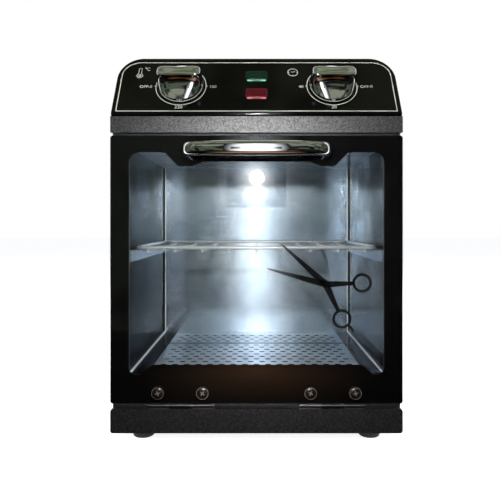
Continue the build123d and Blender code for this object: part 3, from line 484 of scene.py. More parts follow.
# %% Rings to faces
def skin(rings, loop=False):
    """Surface through a stack of rings, an array of shape (rings, points in a ring, 3).

    Point j of a ring joins point j + 1 and the same pair in the next ring. The two end rings are
    closed by triangles that meet in their mean point, or in a loop the last ring joins the first.
    """
    count, around = rings.shape[:2]
    row = np.arange(count if loop else count - 1)[:, None]
    start = row * around + np.arange(around)
    above = (row + 1) % count * around + np.arange(around)
    quads = np.stack([start, np.roll(start, -1, 1), np.roll(above, -1, 1), above], axis=-1).reshape(-1, 4)
    if loop:
        return rings.reshape(-1, 3), quads, np.zeros((0, 3), int)
    first = np.arange(around)
    last = first + (count - 1) * around
    hub = np.full(around, count * around)
    ends = [np.stack([np.roll(first, -1), first, hub], -1), np.stack([last, np.roll(last, -1), hub + 1], -1)]
    points = np.concatenate([rings.reshape(-1, 3), rings[:1].mean(axis=1), rings[-1:].mean(axis=1)])
    return points, quads, np.concatenate(ends)


def together(parts):
    """Several surfaces as one: each part's face numbers move up by the points before it."""
    shifts = np.cumsum([0] + [len(points) for points, quads, ends in parts])
    points = np.concatenate([part[0] for part in parts])
    quads = np.concatenate([part[1] + shift for part, shift in zip(parts, shifts)])
    ends = np.concatenate([part[2] + shift for part, shift in zip(parts, shifts)])
    return points, quads, ends


def outward(part):
    """The surface with its faces outwards: a closed surface then has a positive signed volume."""
    points, quads, ends = part
    corners = np.concatenate([points[quads[:, [0, 1, 2]]], points[quads[:, [0, 2, 3]]], points[ends]])
    volume = np.einsum("ij,ij->", corners[:, 0], np.cross(corners[:, 1], corners[:, 2])) / 6
    return part if volume > 0 else (points, quads[:, ::-1], ends[:, ::-1])


# %% Faces to a piece that rides on the model
def piece(name, parts, body, material, replaced=(), sharp=35.0):
    """One object from several closed surfaces. Edges sharper than this many degrees stay crisp."""
    points, quads, ends = together([outward(part) for part in parts])
    mesh = bpy.data.meshes.new(name)
    mesh.from_pydata(points.tolist(), [], quads.tolist() + ends.tolist())
    mesh.shade_smooth()
    mesh.set_sharp_from_angle(angle=math.radians(sharp))
    mesh.materials.append(material)
    made = show(name, mesh)
    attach(made, body)
    for node in replaced:
        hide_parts(node)
    print(f"{name}: {len(parts)} surfaces, {len(quads) * 2 + len(ends)} triangles")


# %% Outlines and tubes
def superellipse(angle, a, b, power):
    """x and y of a rounded outline: a cos and b sin, each to the power 2 / power with its sign kept."""
    c, s = np.cos(angle), np.sin(angle)
    return a * np.sign(c) * np.abs(c) ** (2 / power), b * np.sign(s) * np.abs(s) ** (2 / power)


def turned(profile, place, axis=(0.0, 0.0, 1.0), around=48):
    """Surface of revolution: the (radius, height) points of a profile, turned round an axis at a place."""
    axis = np.array(axis) / np.linalg.norm(axis)
    helper = np.array([1.0, 0.0, 0.0])
    across = np.cross(axis, helper)
    angle = np.linspace(0, 2 * np.pi, around, endpoint=False)[:, None]
    spoke = np.cos(angle) * helper + np.sin(angle) * across
    profile = np.array(profile)
    return skin(np.array(place) + profile[:, :1, None] * spoke + profile[:, 1:, None] * axis)


def tube(path, width, height, power=2.0, around=16, loop=False):
    """Bar along a level path, an array of points: a superellipse of these half sizes across it.

    Half sizes are numbers or one value for each point of the path. The section's first axis is level
    and square to the path, and its second axis is upright.
    """
    along = np.gradient(np.concatenate([path[-1:], path, path[:1]]), axis=0)[1:-1] if loop \
        else np.gradient(path, axis=0)
    side = np.cross(along, (0.0, 0.0, 1.0))
    side /= np.linalg.norm(side, axis=1, keepdims=True)
    angle = np.linspace(0, 2 * np.pi, around, endpoint=False)
    level, upright = superellipse(angle, 1.0, 1.0, power)
    wide = np.broadcast_to(width, len(path))[:, None] * level
    high = np.broadcast_to(height, len(path))[:, None] * upright
    up = np.array([0.0, 0.0, 1.0])
    return skin(path[:, None] + wide[..., None] * side[:, None] + high[..., None] * up, loop)


# %% Places on the sloped panel
slope_up = np.array([0.0, math.cos(slope), math.sin(slope)])
slope_out = np.array([0.0, -math.sin(slope), math.cos(slope)])
slope_foot = np.array([0.0, front, panel_foot])


def on_slope(x, up, out):
    """Points on the sloped panel: x across, up along the slope from its lower edge, out of its face."""
    x, up, out = np.broadcast_arrays(x, up, out)
    right = np.array([1.0, 0.0, 0.0])
    return slope_foot + x[..., None] * right + up[..., None] * slope_up + out[..., None] * slope_out


dial_x, dial_up = 59.0, 31.0  # millimetres from the middle and from the panel's foot
print("panel foot", [round(float(v), 4) for v in slope_foot])

# %% [markdown]
# ## Chrome dials
# A dial is a stack of level sections. At its skirt the section is a circle. Higher up it narrows to a
# grip bar across the dial, and the bar's flanks are scooped so that a thumb fits: the flank hollows
# quickly above the skirt and is thinnest in the middle of the bar.

# %% Dials
def dial(x_middle):
    """Sections of a dial. With s from 0 at the skirt to 1 at the top, the half length is R - 1.6 s^1.5,
    the half width is g + (R - g)(1 - s)^2.3, waisted by 0.30 s (1 - x^2) in the middle, and the
    superellipse's power grows from 2 to 3.4. The last rings round the edge over into the top face,
    which rises a little to its middle."""
    radius, skirt, height, grip, edge_round, foot_chamfer = 17.8, 4.0, 16.4, 6.2, 1.1, 0.35
    angle = np.linspace(0, 2 * np.pi, 160, endpoint=False)
    flank = skirt + (height - edge_round - skirt) * np.linspace(0, 1, 30) ** 1.3
    rings = []
    for level in [0.0, 0.5, 3.6, *flank, height - 0.72, height - 0.4, height - 0.12, height, height, height]:
        s = min(max((level - skirt) / (height - skirt), 0.0), 1.0)
        chamfer = foot_chamfer * (level == 0.0)
        long_half = radius - 1.6 * s**1.5 - chamfer
        wide_half = grip + (radius - grip) * (1 - s) ** 2.3 - chamfer
        above = max(0.0, edge_round - (height - level))
        drop = math.sqrt(max(0.0, edge_round**2 - above**2))
        roll = edge_round - drop if level < height else edge_round
        x, u = superellipse(angle, 1.0, 1.0, 2.0 + 1.4 * s)
        waist = 1 - 0.30 * s * (1 - x**2)
        rings.append([x * (long_half - roll), u * (wide_half * waist - roll), np.full_like(x, level)])
    rings = np.array(rings)
    crown, clearance = 0.18, 0.4
    rings[-2, :2] *= 0.6
    rings[-2, 2] += crown * 2 / 3
    rings[-1, :2] *= 0.15
    rings[-1, 2] += crown
    x, u, out = rings.transpose(1, 0, 2)
    out = clearance + out * height / (height + crown)
    return skin(on_slope((x_middle + x) * MM, (dial_up + u) * MM, out * MM))


piece("temperature_dial", [dial(-dial_x)], "temperature_dial", chrome, ["temperature_knob"])
piece("timer_dial", [dial(dial_x)], "timer_dial", chrome, ["timer_knob"])


# %% [markdown]
# ## Bow handle
# Seen from above, the handle is half of a superellipse that leaves the glass squarely, turns in tight
# corners and runs nearly straight across. Its section is an oval that is a little lower at the corners
# and spreads into two feet on the glass.

# %% Bow handle
def bow_handle():
    """Bar along |x/a|^n + |y/b|^n = 1 with n = 4.2, resampled to even steps along its length.

    It widens by 0.8 mm into each foot, and its height falls by 8 percent round each corner.
    """
    handle_low, handle_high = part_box("door_handle")
    centre_z = (handle_low.z + handle_high.z) / 2
    half_high, thick = (handle_high.z - handle_low.z) / 2, 4.0 * MM
    foot_spread, edge_room = 0.8 * MM, 0.1 * MM
    a, b = handle_high.x - thick - foot_spread - edge_room, front - handle_low.y - thick
    coarse = np.linspace(0.0, np.pi, 4001)
    x, y = superellipse(coarse, a, b, 4.2)
    length = np.concatenate([[0.0], np.cumsum(np.hypot(np.diff(x), np.diff(y)))])
    steps = np.linspace(0.0, length[-1], 161)
    x, y = np.interp(steps, length, x), np.interp(steps, length, y)
    from_end = np.minimum(steps, length[-1] - steps) / (30 * MM)
    spread = np.clip(1 - from_end * 3.5, 0.0, 1.0) ** 2
    corner = np.exp(-((from_end - 0.75) ** 2) / 0.16)
    path = np.stack([x, front - y, np.full_like(x, centre_z)], axis=-1)
    return tube(path, thick + foot_spread * spread, half_high * (1.0 - 0.08 * corner), 2.3, 40)


piece("bow_handle", [bow_handle()], "door", chrome, ["door_handle"])


# %% [markdown]
# ## Cross-head screws
# Four low domed screws hold the door to its hinges. The cross recess is carved into the dome's height:
# two slots at right angles, with steep walls, fading out towards the rim.

# %% Door screws
def cross_head(x_place, z_place, radius, height, turn):
    """Dome h (0.3 + 0.7 (1 - r^5)), less a cross: a slot is where |v| is under its half width."""
    angle = np.linspace(0, 2 * np.pi, 96, endpoint=False)[None]
    r = np.concatenate([[1.0, 1.0, 0.985], np.linspace(0.96, 0.02, 40)])[:, None]
    x, z = r * np.cos(angle), r * np.sin(angle)
    u, v = x * math.cos(turn) + z * math.sin(turn), z * math.cos(turn) - x * math.sin(turn)
    slots = [np.clip((0.13 - np.abs(p)) / 0.05, 0, 1) * np.clip((0.48 - np.abs(q)) / 0.12, 0, 1)
             for p, q in ((u, v), (v, u))]
    dome = 0.30 + 0.70 * (1 - r**5.0) + 0 * angle
    out = height * (dome - 0.62 * np.maximum(*slots))
    out[0] = 0.0
    out[1] = height * 0.12
    return skin(np.stack([x_place + radius * x, front - out, z_place + radius * z], axis=-1))


screw_low, screw_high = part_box("door_screws")
screw_radius = (screw_high.z - screw_low.z) / 2
screw_z = (screw_low.z + screw_high.z) / 2
screw_x = screw_high.x - screw_radius
inner_x, shank_radius = 40.5 * MM, 2.2 * MM
screw_places = [(-screw_x, 0.3), (-inner_x, 0.9), (inner_x, 1.1), (screw_x, 0.2)]
head_high = front - screw_low.y
heads = [cross_head(x, screw_z, screw_radius, head_high, turn) for x, turn in screw_places]
shank = [(shank_radius, 0.0), (shank_radius, screw_high.y - front)]
shanks = [turned(shank, (x, front, screw_z), (0.0, 1.0, 0.0), 24) for x, turn in screw_places]
piece("door_screw_heads", heads + shanks, "door", door_screw_plate, ["door_screws"])


# %% Brass screws under the base
base_low, base_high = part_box("base_screws")
brass_radius, brass_shank, seat = 2.3 * MM, 1.35 * MM, 13.0 * MM


def round_head(x, y):
    """Low dome on a shank, head down: at the share a of its radius it is 1.55 - 0.9 a^2.2 mm deep."""
    dome = [(brass_radius * a, (1.55 - 0.9 * a**2.2) * MM) for a in np.linspace(0.02, 1.0, 14)]
    shank = [(brass_radius, 0.0), (brass_shank, 0.0), (brass_shank, seat - base_high.z)]
    return turned(dome + shank, (x, y, seat), (0.0, 0.0, -1.0), 36)


base_x, base_ys = base_high.x - brass_radius, (base_low.y + brass_radius, base_high.y - brass_radius)
base_heads = [round_head(x, y) for x in (-base_x, base_x) for y in base_ys]
piece("base_screw_heads", base_heads, "cabinet", brass, ["base_screws"])

# %% [markdown]
# ## Signal lamps
# Each lens is a rounded block of coloured plastic on a stem in the panel. Fine prisms under its face
# break up the colour, and its lower edge sends the light of the small lamp straight back in a thin
# bright line. Refraction would need very many samples to find that line, so the line glows by itself.

# %% Lenses
def lens_plastic(name, deep, bright, flash, edge_z):
    """Plastic tinted by two crossed waves, with a painted highlight: a line of flash colour at the height
    edge_z.

    The line fades out just before the lens's ends and is dimmer in its middle.
    """
    material, shader, place = blank(name, Roughness=0.25, Specular_IOR_Level=0.2, Emission_Strength=1.0)
    x, z = place.axis("X"), place.axis("Z")
    prisms = (x.wave(1.7 * MM) * z.wave(1.5 * MM)).between(0.15, 0.9)
    colour = (0.7 * prisms + 0.3 * noise(place, 180.0, 1.0)).tint(deep, bright)
    line = (z - edge_z).size().between(0.55 * MM, 0.25 * MM)
    outer = x.size().between(2.0 * MM, 5.5 * MM)
    inside = x.size().between(7.6 * MM, 7.0 * MM)
    painted_glint = (line * inside * (0.35 + 0.65 * outer)).tint((0.0, 0.0, 0.0), flash)
    feed(shader, Base_Color=colour, Normal=bump(prisms, 0.18 * MM, 0.7), Emission_Color=painted_glint)
    return material


def lens(up):
    """Rings of |x/a|^8 + |u/b|^8 = 1: a stem, a step out to the rim, and a rounded edge to the face.

    Along the lower edge the shoulder lies up to 0.25 mm deeper and the face starts 0.3 mm higher.
    """
    angle = np.linspace(0, 2 * np.pi, 120, endpoint=False)
    x, u = superellipse(angle, 1.0, 1.0, 8.0)
    low = np.clip((-u - 0.55) / 0.4, 0, 1)
    a, b, thick, stem_a, stem_b, stem_depth, seat_gap = 8.5, 4.75, 1.8, 7.4, 3.65, 3.9, 0.02
    rings = [
        (x * stem_a, u * stem_b, 0 * x - stem_depth),
        (x * stem_a, u * stem_b, 0 * x + seat_gap),
        (x * a, u * b, 0 * x + seat_gap),
        (x * a, u * b, thick - 0.45 - 0.25 * low),
        (x * (a - 0.12), u * (b - 0.12) + 0.03 * low, thick - 0.28 - 0.20 * low),
        (x * (a - 0.45), u * (b - 0.45) + 0.25 * low, 0 * x + thick - 0.02),
        (x * (a - 0.75), u * (b - 0.75) + 0.30 * low, 0 * x + thick),
    ]
    x, u, out = np.array(rings).transpose(1, 0, 2) * MM
    return skin(on_slope(x, up * MM + u, out))


line_rise = 1.5 * MM
run_low, power_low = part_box("run_lamp_lens")[0].z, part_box("power_lamp_lens")[0].z
mint, rose = (0.30, 0.95, 0.55), (1.0, 0.22, 0.26)
green = lens_plastic("green_lens", (0.0, 0.008, 0.005), (0.002, 0.040, 0.020), mint, run_low + line_rise)
red = lens_plastic("red_lens", (0.035, 0.0, 0.003), (0.15, 0.003, 0.010), rose, power_low + line_rise)
piece("run_lens", [lens(41.2)], "cabinet", green, ["run_lamp_lens"])
piece("power_lens", [lens(22.5)], "cabinet", red, ["power_lamp_lens"])

# %% [markdown]
# ## Perforated plates
# The floor and the ceiling of the chamber are one pattern: rounded slots in staggered rows. The plate
# is a fine grid. Each slot takes a block of four by four cells, where sixteen faces run from the
# block's edge to the slot's outline. The stagger is half a pitch, which is two cells, so all the
# rows share their points and the sheet stays closed.

# %% One face of the sheet
def pierced_face(xs, ys, rows, columns):
    """Grid over xs and ys with staggered slots of 5 by 3 mm, as flat points, faces and open edges.

    A slot's outline has a point for each of the sixteen grid points round its block, roughly in the
    direction of that point. An edge is a pair of lists: where each of its steps begins and ends.
    """
    x, y = np.meshgrid(xs, ys)
    flat = np.stack([x.ravel(), y.ravel()], axis=-1)
    wide, high, solid = len(xs), len(ys), np.ones((len(ys) - 1, len(xs) - 1), bool)
    block = [(r, c) for r in range(rows) for c in range(columns - r % 2)]
    row = np.array([1 + 4 * r for r, c in block])
    column = np.array([1 + 4 * c + 2 * (r % 2) for r, c in block])
    for i in range(4):
        for j in range(4):
            solid[row + i, column + j] = False
    k = np.arange(4)
    di = np.concatenate([0 * k, k, 0 * k + 4, 4 - k])
    dj = np.concatenate([k, 0 * k + 4, 4 - k, 0 * k])
    rim = (row[:, None] + di) * wide + column[:, None] + dj
    middle = flat[row * wide + column] / 2 + flat[(row + 4) * wide + column + 4] / 2
    angle = np.arctan2((di - 2) * 1.5, (dj - 2) * 2.5)
    hole = middle[:, None] + np.stack(superellipse(angle, 2.5 * MM, 1.5 * MM, 3.2), axis=-1)
    hole_id = len(flat) + np.arange(hole.shape[0] * 16).reshape(-1, 16)
    ring = np.stack([rim, np.roll(rim, -1, 1), np.roll(hole_id, -1, 1), hole_id], axis=-1).reshape(-1, 4)
    i, j = np.nonzero(solid)
    corner = i * wide + j
    plain = np.stack([corner, corner + 1, corner + wide + 1, corner + wide], axis=-1)
    outer = np.concatenate([
        np.arange(wide - 1), np.arange(high - 1) * wide + wide - 1,
        high * wide - 1 - np.arange(wide - 1), (high - 1 - np.arange(high - 1)) * wide,
    ])
    edges = [(outer, np.roll(outer, -1)), (np.roll(hole_id, -1, 1).ravel(), hole_id.ravel())]
    return np.concatenate([flat, hole.reshape(-1, 2)]), np.concatenate([plain, ring]), edges


# %% Perforated sheet
sheet = 0.8 * MM


def perforated(low, high, floor_side, columns=17, rows=16, pitch=9.5 * MM, first=19.0 * MM):
    """Sheet between two corners; floor_side is 1 if its good face is up.

    Its rows lie pitch sin 60 apart, and the first row lies first behind the front of the door.
    """
    spacing = pitch * math.sin(math.radians(60))
    xs = np.concatenate([[low.x], (np.arange(4 * columns + 1) / 4 - columns / 2) * pitch, [high.x]])
    start = front + first - spacing / 2
    ys = np.concatenate([[low.y], start + np.arange(4 * rows + 1) / 4 * spacing, [high.y]])
    plan, face, edges = pierced_face(xs, ys, rows, columns)
    good_z = high.z if floor_side > 0 else low.z
    levels = (good_z, good_z - floor_side * sheet)
    points = np.concatenate([np.c_[plan, np.full(len(plan), z)] for z in levels])
    shift = len(plan)
    walls = [np.stack([b, a, a + shift, b + shift], axis=-1) for a, b in edges]
    return points, np.concatenate([face, face[:, ::-1] + shift] + walls), np.zeros((0, 3), int)


def plate(node, floor_side):
    """The perforated sheet and its two upright legs, down from a floor or up from a ceiling."""
    low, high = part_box(node)
    z_low, z_high = (low.z, high.z - sheet) if floor_side > 0 else (low.z + sheet, high.z)
    middle, half_high, square = (z_low + z_high) / 2, (z_high - z_low) / 2, 60.0
    parts = [perforated(low, high, floor_side)]
    for y in (low.y + sheet / 2, high.y - sheet / 2):
        path = np.array([[low.x, y, middle], [high.x, y, middle]])
        parts.append(tube(path, sheet / 2, half_high, square, 8))
    return parts


piece("floor_sheet", plate("floor_plate", 1), "cabinet", plate_steel, ["floor_plate"])
piece("ceiling_sheet", plate("ceiling_plate", -1), "cabinet", plate_steel, ["ceiling_plate"])


# %% [markdown]
# ## Seams of the lining
# The side panels stop just short of the back wall. The gap's shade is painted as a dark upright bar in each
# rear corner, with a painted highlight beside it where the panel's cut edge catches the light. At the floor
# the panels turn inwards in a tight bend, and the light along the crease of the bend is a painted highlight.

# %% Seams
def upright_bar(x, y, z_low, z_high, width, thick=0.1 * MM):
    """Flat bar round (x, y), its broad face towards the door: the same rectangle at both ends."""
    section = np.array([[-1, -1], [1, -1], [1, 1], [-1, 1]]) / 2 * (width, thick) + (x, y)
    return skin(np.array([np.c_[section, np.full(4, z)] for z in (z_low, z_high)]))


side_low, side_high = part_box("right_side_panel")
floor_top, ceiling_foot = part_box("floor_plate")[1].z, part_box("ceiling_plate")[0].z
corner_x, corner_y = side_high.x - sheet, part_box("floor_plate")[1].y
gap_width, edge_width, edge_inset = 1.0 * MM, 0.9 * MM, 1.5 * MM
# Painted shade for the corner gaps, and painted highlights for the cut edges and the bends.
gap_shade = dull("seam_shadow", (0.002, 0.002, 0.003), (0.004, 0.004, 0.005), 0.8, 400.0)
painted_edge_highlight = plated("painted_edge_highlight", (0.90, 0.92, 0.95), 0.30, metallic=0.3)
gap_shades, edges, crease_highlights = [], [], []
for side in (-1, 1):
    gap_x, edge_x = side * (corner_x - gap_width / 2), side * (corner_x - edge_inset)
    gap_shades.append(upright_bar(gap_x, corner_y, floor_top, ceiling_foot, gap_width))
    edges.append(upright_bar(edge_x, corner_y, floor_top, ceiling_foot, edge_width))
    crease_x, crease_z = side * (corner_x - 1.1 * MM), floor_top + 1.9 * MM
    crease = np.array([[crease_x, side_low.y, crease_z], [crease_x, side_high.y, crease_z]])
    crease_highlights.append(tube(crease, 0.95 * MM, 0.95 * MM))
piece("seam_gap_shades", gap_shades, "cabinet", gap_shade)
piece("seam_edge_highlights", edges, "cabinet", painted_edge_highlight)
piece("bend_crease_highlights", crease_highlights, "cabinet", painted_edge_highlight)

# %% [markdown]
# ## Wire rack
# The rack is a closed rim of round wire with lighter wires welded under it from front to back. Their
# ends are rounded off and peep out under the rim.

# %% Wires
def rounded_rectangle(x_half, y_low, y_high, radius, z):
    """Closed level path: four quarter circles, and the straight runs between them in even steps."""
    turn = np.linspace(0, np.pi / 2, 13)
    near, far, x_middle = y_low + radius, y_high - radius, x_half - radius
    corners = []
    for k, (x, y) in enumerate([(x_middle, near), (x_middle, far), (-x_middle, far), (-x_middle, near)]):
        angle = turn + (k - 1) * np.pi / 2
        corners.append(np.stack([x + radius * np.cos(angle), y + radius * np.sin(angle)], -1))
    plan = np.concatenate(corners)
    return np.c_[plan, np.full(len(plan), z)]


def straight_wire(x, y_low, y_high, z, radius):
    """Round wire with domed ends: the radius grows as a quarter circle over its own length."""
    end = np.linspace(0.05, np.pi / 2, 8)
    y = np.concatenate([y_low + radius * (1 - np.cos(end)), y_high - radius * (1 - np.cos(end[::-1]))])
    r = radius * np.concatenate([np.sin(end), np.sin(end[::-1])])
    return tube(np.stack([np.full_like(y, x), y, np.full_like(y, z)], -1), r, r, 2.0, 20)


rack_low, rack_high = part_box("wire_rack")
rim_r, cross_r = 1.5 * MM, 1.25 * MM
rim_z, cross_z = rack_high.z - rim_r, rack_low.z + cross_r
wire_ends, rim_bend = 1.5 * MM, 8.0 * MM
rim_near, rim_far = rack_low.y + wire_ends + rim_r, rack_high.y - rim_r
rim = rounded_rectangle(rack_high.x - rim_r, rim_near, rim_far, rim_bend, rim_z)
wires = [tube(rim, rim_r, rim_r, 2.0, 20, loop=True)]
cross_xs = np.linspace(-84.0, 84.0, 9) * MM
wires += [straight_wire(x, rack_low.y, rack_high.y, cross_z, cross_r) for x in cross_xs]
piece("rack_wires", wires, "rack", rack_chrome, ["wire_rack"])


# %% Rubber feet
def foot(node):
    """Turned profile: a tapered side with rounded edges, and the pocket under it for its screw."""
    low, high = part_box(node)
    place = ((low.x + high.x) / 2, (low.y + high.y) / 2, low.z)
    bend = np.linspace(0, np.pi / 2, 7)
    toe = [(7.2 + 1.5 * math.sin(t), 1.5 - 1.5 * math.cos(t)) for t in bend]
    shoulder = [(9.4 + 0.6 * math.cos(t), 12.4 + 0.6 * math.sin(t)) for t in bend]
    profile = [(4.4, 5.9), (4.4, 0.3), (4.8, 0.0)] + toe + shoulder
    return turned(np.array(profile) * MM, place, around=64)


for end in ("left_front", "left_rear", "right_front", "right_rear"):
    piece(f"{end}_rubber", [foot(f"{end}_foot")], "cabinet", rubber, [f"{end}_foot"])


# %% [markdown]
# ## Print on the panel
# The panel carries a thin border, a ring round each dial, plain numbers, and two signs: a thermometer
# and a clock. Each line is a closed strip a few hundredths of a millimetre thick that lies on the face.

# %% Printed strips
INK = 0.06 * MM


def strip(path, width, place, loop=False):
    """Flat strip along a path of (u, v) points, half the width to each side; place maps to space."""
    path = np.array(path, float)
    ends = np.concatenate([path[-1:], path, path[:1]])
    along = np.gradient(ends, axis=0)[1:-1] if loop else np.gradient(path, axis=0)
    side = np.stack([-along[:, 1], along[:, 0]], -1)
    side /= np.linalg.norm(side, axis=1, keepdims=True)
    half = np.broadcast_to(width, len(path))[:, None] / 2 * side
    edges = [(path - half, 0.0), (path + half, 0.0), (path + half, INK), (path - half, INK)]
    return skin(np.stack([place(e[:, 0], e[:, 1], out) for e, out in edges], axis=1), loop)


def circle(u, v, radius, start=0.0, end=360.0, steps=72):
    """Points of an arc round (u, v), from one angle to another in degrees."""
    angle = np.radians(np.linspace(start, end, steps, endpoint=end - start != 360.0))
    return np.stack([u + radius * np.cos(angle), v + radius * np.sin(angle)], -1)


def panel_mm(u, v, out):
    """Points just over the panel's face, from millimetres across and up."""
    return on_slope(u * MM, v * MM, out + 0.01 * MM)


ink, ink_shader, ink_place = blank("panel_ink", Roughness=0.45)
feed(ink_shader, Base_Color=noise(ink_place, 300.0).tint((0.50, 0.52, 0.45), (0.62, 0.64, 0.56)))
left, right, low, high, bend = -106.6, 106.6, 5.2, 56.8, 14.0
steps = np.linspace(0, 1, 40)[:, None]
border = np.concatenate([
    (left, low) + steps[1:-1] * (right - left, 0), [(right - 0.05, low), (right, low + 0.05)],
    circle(right - bend, high - bend, bend, 0, 90, 20),
    circle(left + bend, high - bend, bend, 90, 180, 20), [(left, low + 0.05), (left + 0.05, low)],
])
marks = [strip(border, 0.75, panel_mm, loop=True)]


def line(path, width, loop=False):
    """Adds one printed line to the panel's marks."""
    marks.append(strip(path, width, panel_mm, loop))


def tick(u, v, radii, turn, width):
    """Adds a short line that points away from (u, v), between two radii."""
    c, s = math.cos(math.radians(turn)), math.sin(math.radians(turn))
    line([(u + r * c, v + r * s) for r in radii], width)


# %% Rings, clock and thermometer
ring_radius, tick_radii = 19.6, (19.9, 20.9)
for x in (-dial_x, dial_x):
    line(circle(x, dial_up, ring_radius), 0.55, loop=True)
    for turn in (180, 270, 0):
        tick(x, dial_up, tick_radii, turn, 0.5)
u, v = 28.9, 46.0
line(circle(u, v, 3.9), 0.5, loop=True)
for turn in range(0, 360, 90):
    tick(u, v, (2.7, 3.5), turn, 0.4)
line([(u - 1.5, v + 0.9), (u, v), (u + 1.9, v + 1.5)], 0.45)
u, v, tube_foot, tube_top, tube_half = -92.6, 42.4, 44.4, 49.4, 1.15
line(circle(u, v, 2.3, -240, 60, 40), 0.45)
line(circle(u, v, 0.9), 0.7, loop=True)
line([(u - tube_half, tube_foot), (u - tube_half, tube_top)], 0.45)
line([(u + tube_half, tube_top), (u + tube_half, tube_foot)], 0.45)
line(circle(u, tube_top, tube_half, 0, 180, 20), 0.45)
line(circle(-88.4, 50.9, 0.6), 0.35, loop=True)
line(circle(-85.9, 49.6, 1.5, 50, 310, 30), 0.4)
piece("panel_lines", marks, "cabinet", ink, sharp=30)


# %% Numbers
def words(text, x, up, height, align):
    """Text as a thin closed mesh on the panel. A letter's own plane maps to the panel's face."""
    curve = bpy.data.curves.new("number", "FONT")
    curve.body = text
    curve.size = height * MM / 0.70
    curve.extrude = INK / 2
    curve.resolution_u = 3
    curve.align_x = align
    holder = bpy.data.objects.new("number", curve)
    mesh = bpy.data.meshes.new_from_object(holder)
    bpy.data.objects.remove(holder)
    flat = np.empty(len(mesh.vertices) * 3)
    mesh.vertices.foreach_get("co", flat)
    flat = flat.reshape(-1, 3)
    out = flat[:, 2] + INK / 2 + 0.01 * MM
    placed = on_slope(x * MM + flat[:, 0], (up - height / 2) * MM + flat[:, 1], out)
    mesh.vertices.foreach_set("co", placed.ravel())
    mesh.materials.clear()
    mesh.materials.append(ink)
    number = show("number_" + "".join(c for c in text if c.isalnum()) + align[0], mesh)
    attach(number, "cabinet")


beside, below = dial_up - 0.4, 9.2
words("OFF-0", -dial_x - 22.4, beside, 2.7, "RIGHT")
words("150", -dial_x + 22.0, beside, 2.7, "LEFT")
words("220", -dial_x - 0.4, below, 2.9, "CENTER")
words("40", dial_x - 22.2, beside, 2.7, "RIGHT")
words("OFF-0", dial_x + 22.0, beside, 2.7, "LEFT")
words("20", dial_x, below, 2.9, "CENTER")
print("numbers on the panel")

# %% [markdown]
# ## Painted glints on the door screws
# The light catches the cross and the rim of each blackened screw, and those glints are painted: a pair of
# short strips and a ring of bright metal, lying on the plane that the heads just reach.

# %% Painted glints on crosses and rims
def upright_face(y, side):
    """Places strips on the upright plane at y: u across and v up in millimetres, out to this side."""
    def points(u, v, out):
        u, v, out = np.broadcast_arrays(u, v, out)
        return np.stack([u * MM, y + side * out, v * MM], axis=-1)
    return points


on_screw = upright_face(screw_low.y - 0.01 * MM, -1)
rim_radius, half_arm, glinting = 4.35, 1.75, []
for x, turn in screw_places:
    u, v = x / MM, screw_z / MM
    glinting.append(strip(circle(u, v, rim_radius), 0.35, on_screw, loop=True))
    for arm in (turn, turn + math.pi / 2):
        c, s = half_arm * math.cos(arm), half_arm * math.sin(arm)
        glinting.append(strip([(u - c, v - s), (u + c, v + s)], 0.8, on_screw))
print(len(glinting), "worn edges on", len(screw_places), "screws")

# %% [markdown]
# ## Print on the door
# The glass carries a plain pair of scissors, the sign for tools, and one thin line over the sill. Both
# lie on the back of the glass. A blade and its shank are one strip, whose width swells from the tip to
# the pivot and tapers from there to the ring.

# %% Scissors and sill line
on_glass = upright_face(glass_back + 0.02 * MM, 1)


def blade(tip, pivot, ring_centre, tip_width, widest, shank):
    """Strip from tip to ring through the pivot: width rises as t^0.75 to the pivot, then thins."""
    tip, pivot, ring_centre = (np.array(p, float) for p in (tip, pivot, ring_centre))
    t = np.linspace(0, 1, 30)[:, None]
    reach = ring_centre + (pivot - ring_centre) / np.linalg.norm(pivot - ring_centre) * 6.3
    path = np.concatenate([tip + t * (pivot - tip), pivot + t[1:] * (reach - pivot)])
    swell = tip_width + (widest - tip_width) * t[:, 0] ** 0.75
    return strip(path, np.concatenate([swell, widest + (shank - widest) * t[1:, 0]]), on_glass)


pivot, upper_ring, lower_ring, ring_radius = (52.6, 124.6), (80.1, 125.7), (64.8, 98.4), 6.35
figure = [
    blade((18.7, 155.2), pivot, lower_ring, 0.5, 5.4, 2.6),
    blade((7.8, 136.6), pivot, upper_ring, 0.5, 5.2, 2.6),
    strip(circle(*upper_ring, ring_radius), 2.0, on_glass, loop=True),
    strip(circle(*lower_ring, ring_radius), 2.0, on_glass, loop=True),
    strip([(69.2, 93.6), (71.9, 91.8), (73.6, 88.6)], [1.8, 1.6, 1.0], on_glass),
]
pin = strip(circle(*pivot, 1.15), 0.7, on_glass, loop=True)
sill = [(-79.8, 63.9), (-69.5, 78.0), (-66.0, 80.1), (66.0, 80.1), (69.5, 78.0), (79.8, 63.9)]

# %% Pieces that lie on the door
door_ink, door_ink_shader, door_ink_place = blank("door_ink", Roughness=0.8, Specular_IOR_Level=0.02)
ink_dark, ink_light = (0.003, 0.003, 0.004), (0.006, 0.006, 0.007)
feed(door_ink_shader, Base_Color=noise(door_ink_place, 200.0).tint(ink_dark, ink_light))
piece("door_figure", figure, "door", door_ink, sharp=30)
piece("screw_cross_glints", glinting, "door", glint_plate)
piece("scissor_pin", [pin], "door", ink)
piece("sill_line", [strip(sill, 0.6, on_glass)], "door", door_ink, sharp=30)

# %% [markdown]
# ## Floor and background
# The background is white. It comes from the floor's own brightness and from the world as the camera,
# mirrors and glass see it, and never from stronger lamps, so the black case keeps its depth.

# %% World and floor
def seen(tree):
    """1 for what the camera, a mirror or glass looks at, and 0 for light that falls on things."""
    kinds = ("Is Camera Ray", "Is Glossy Ray", "Is Transmission Ray")
    camera, mirror, glass = (Wire(tree).add("ShaderNodeLightPath", output=kind) for kind in kinds)
    return camera.maths("MAXIMUM", camera, mirror.maths("MAXIMUM", mirror, glass))


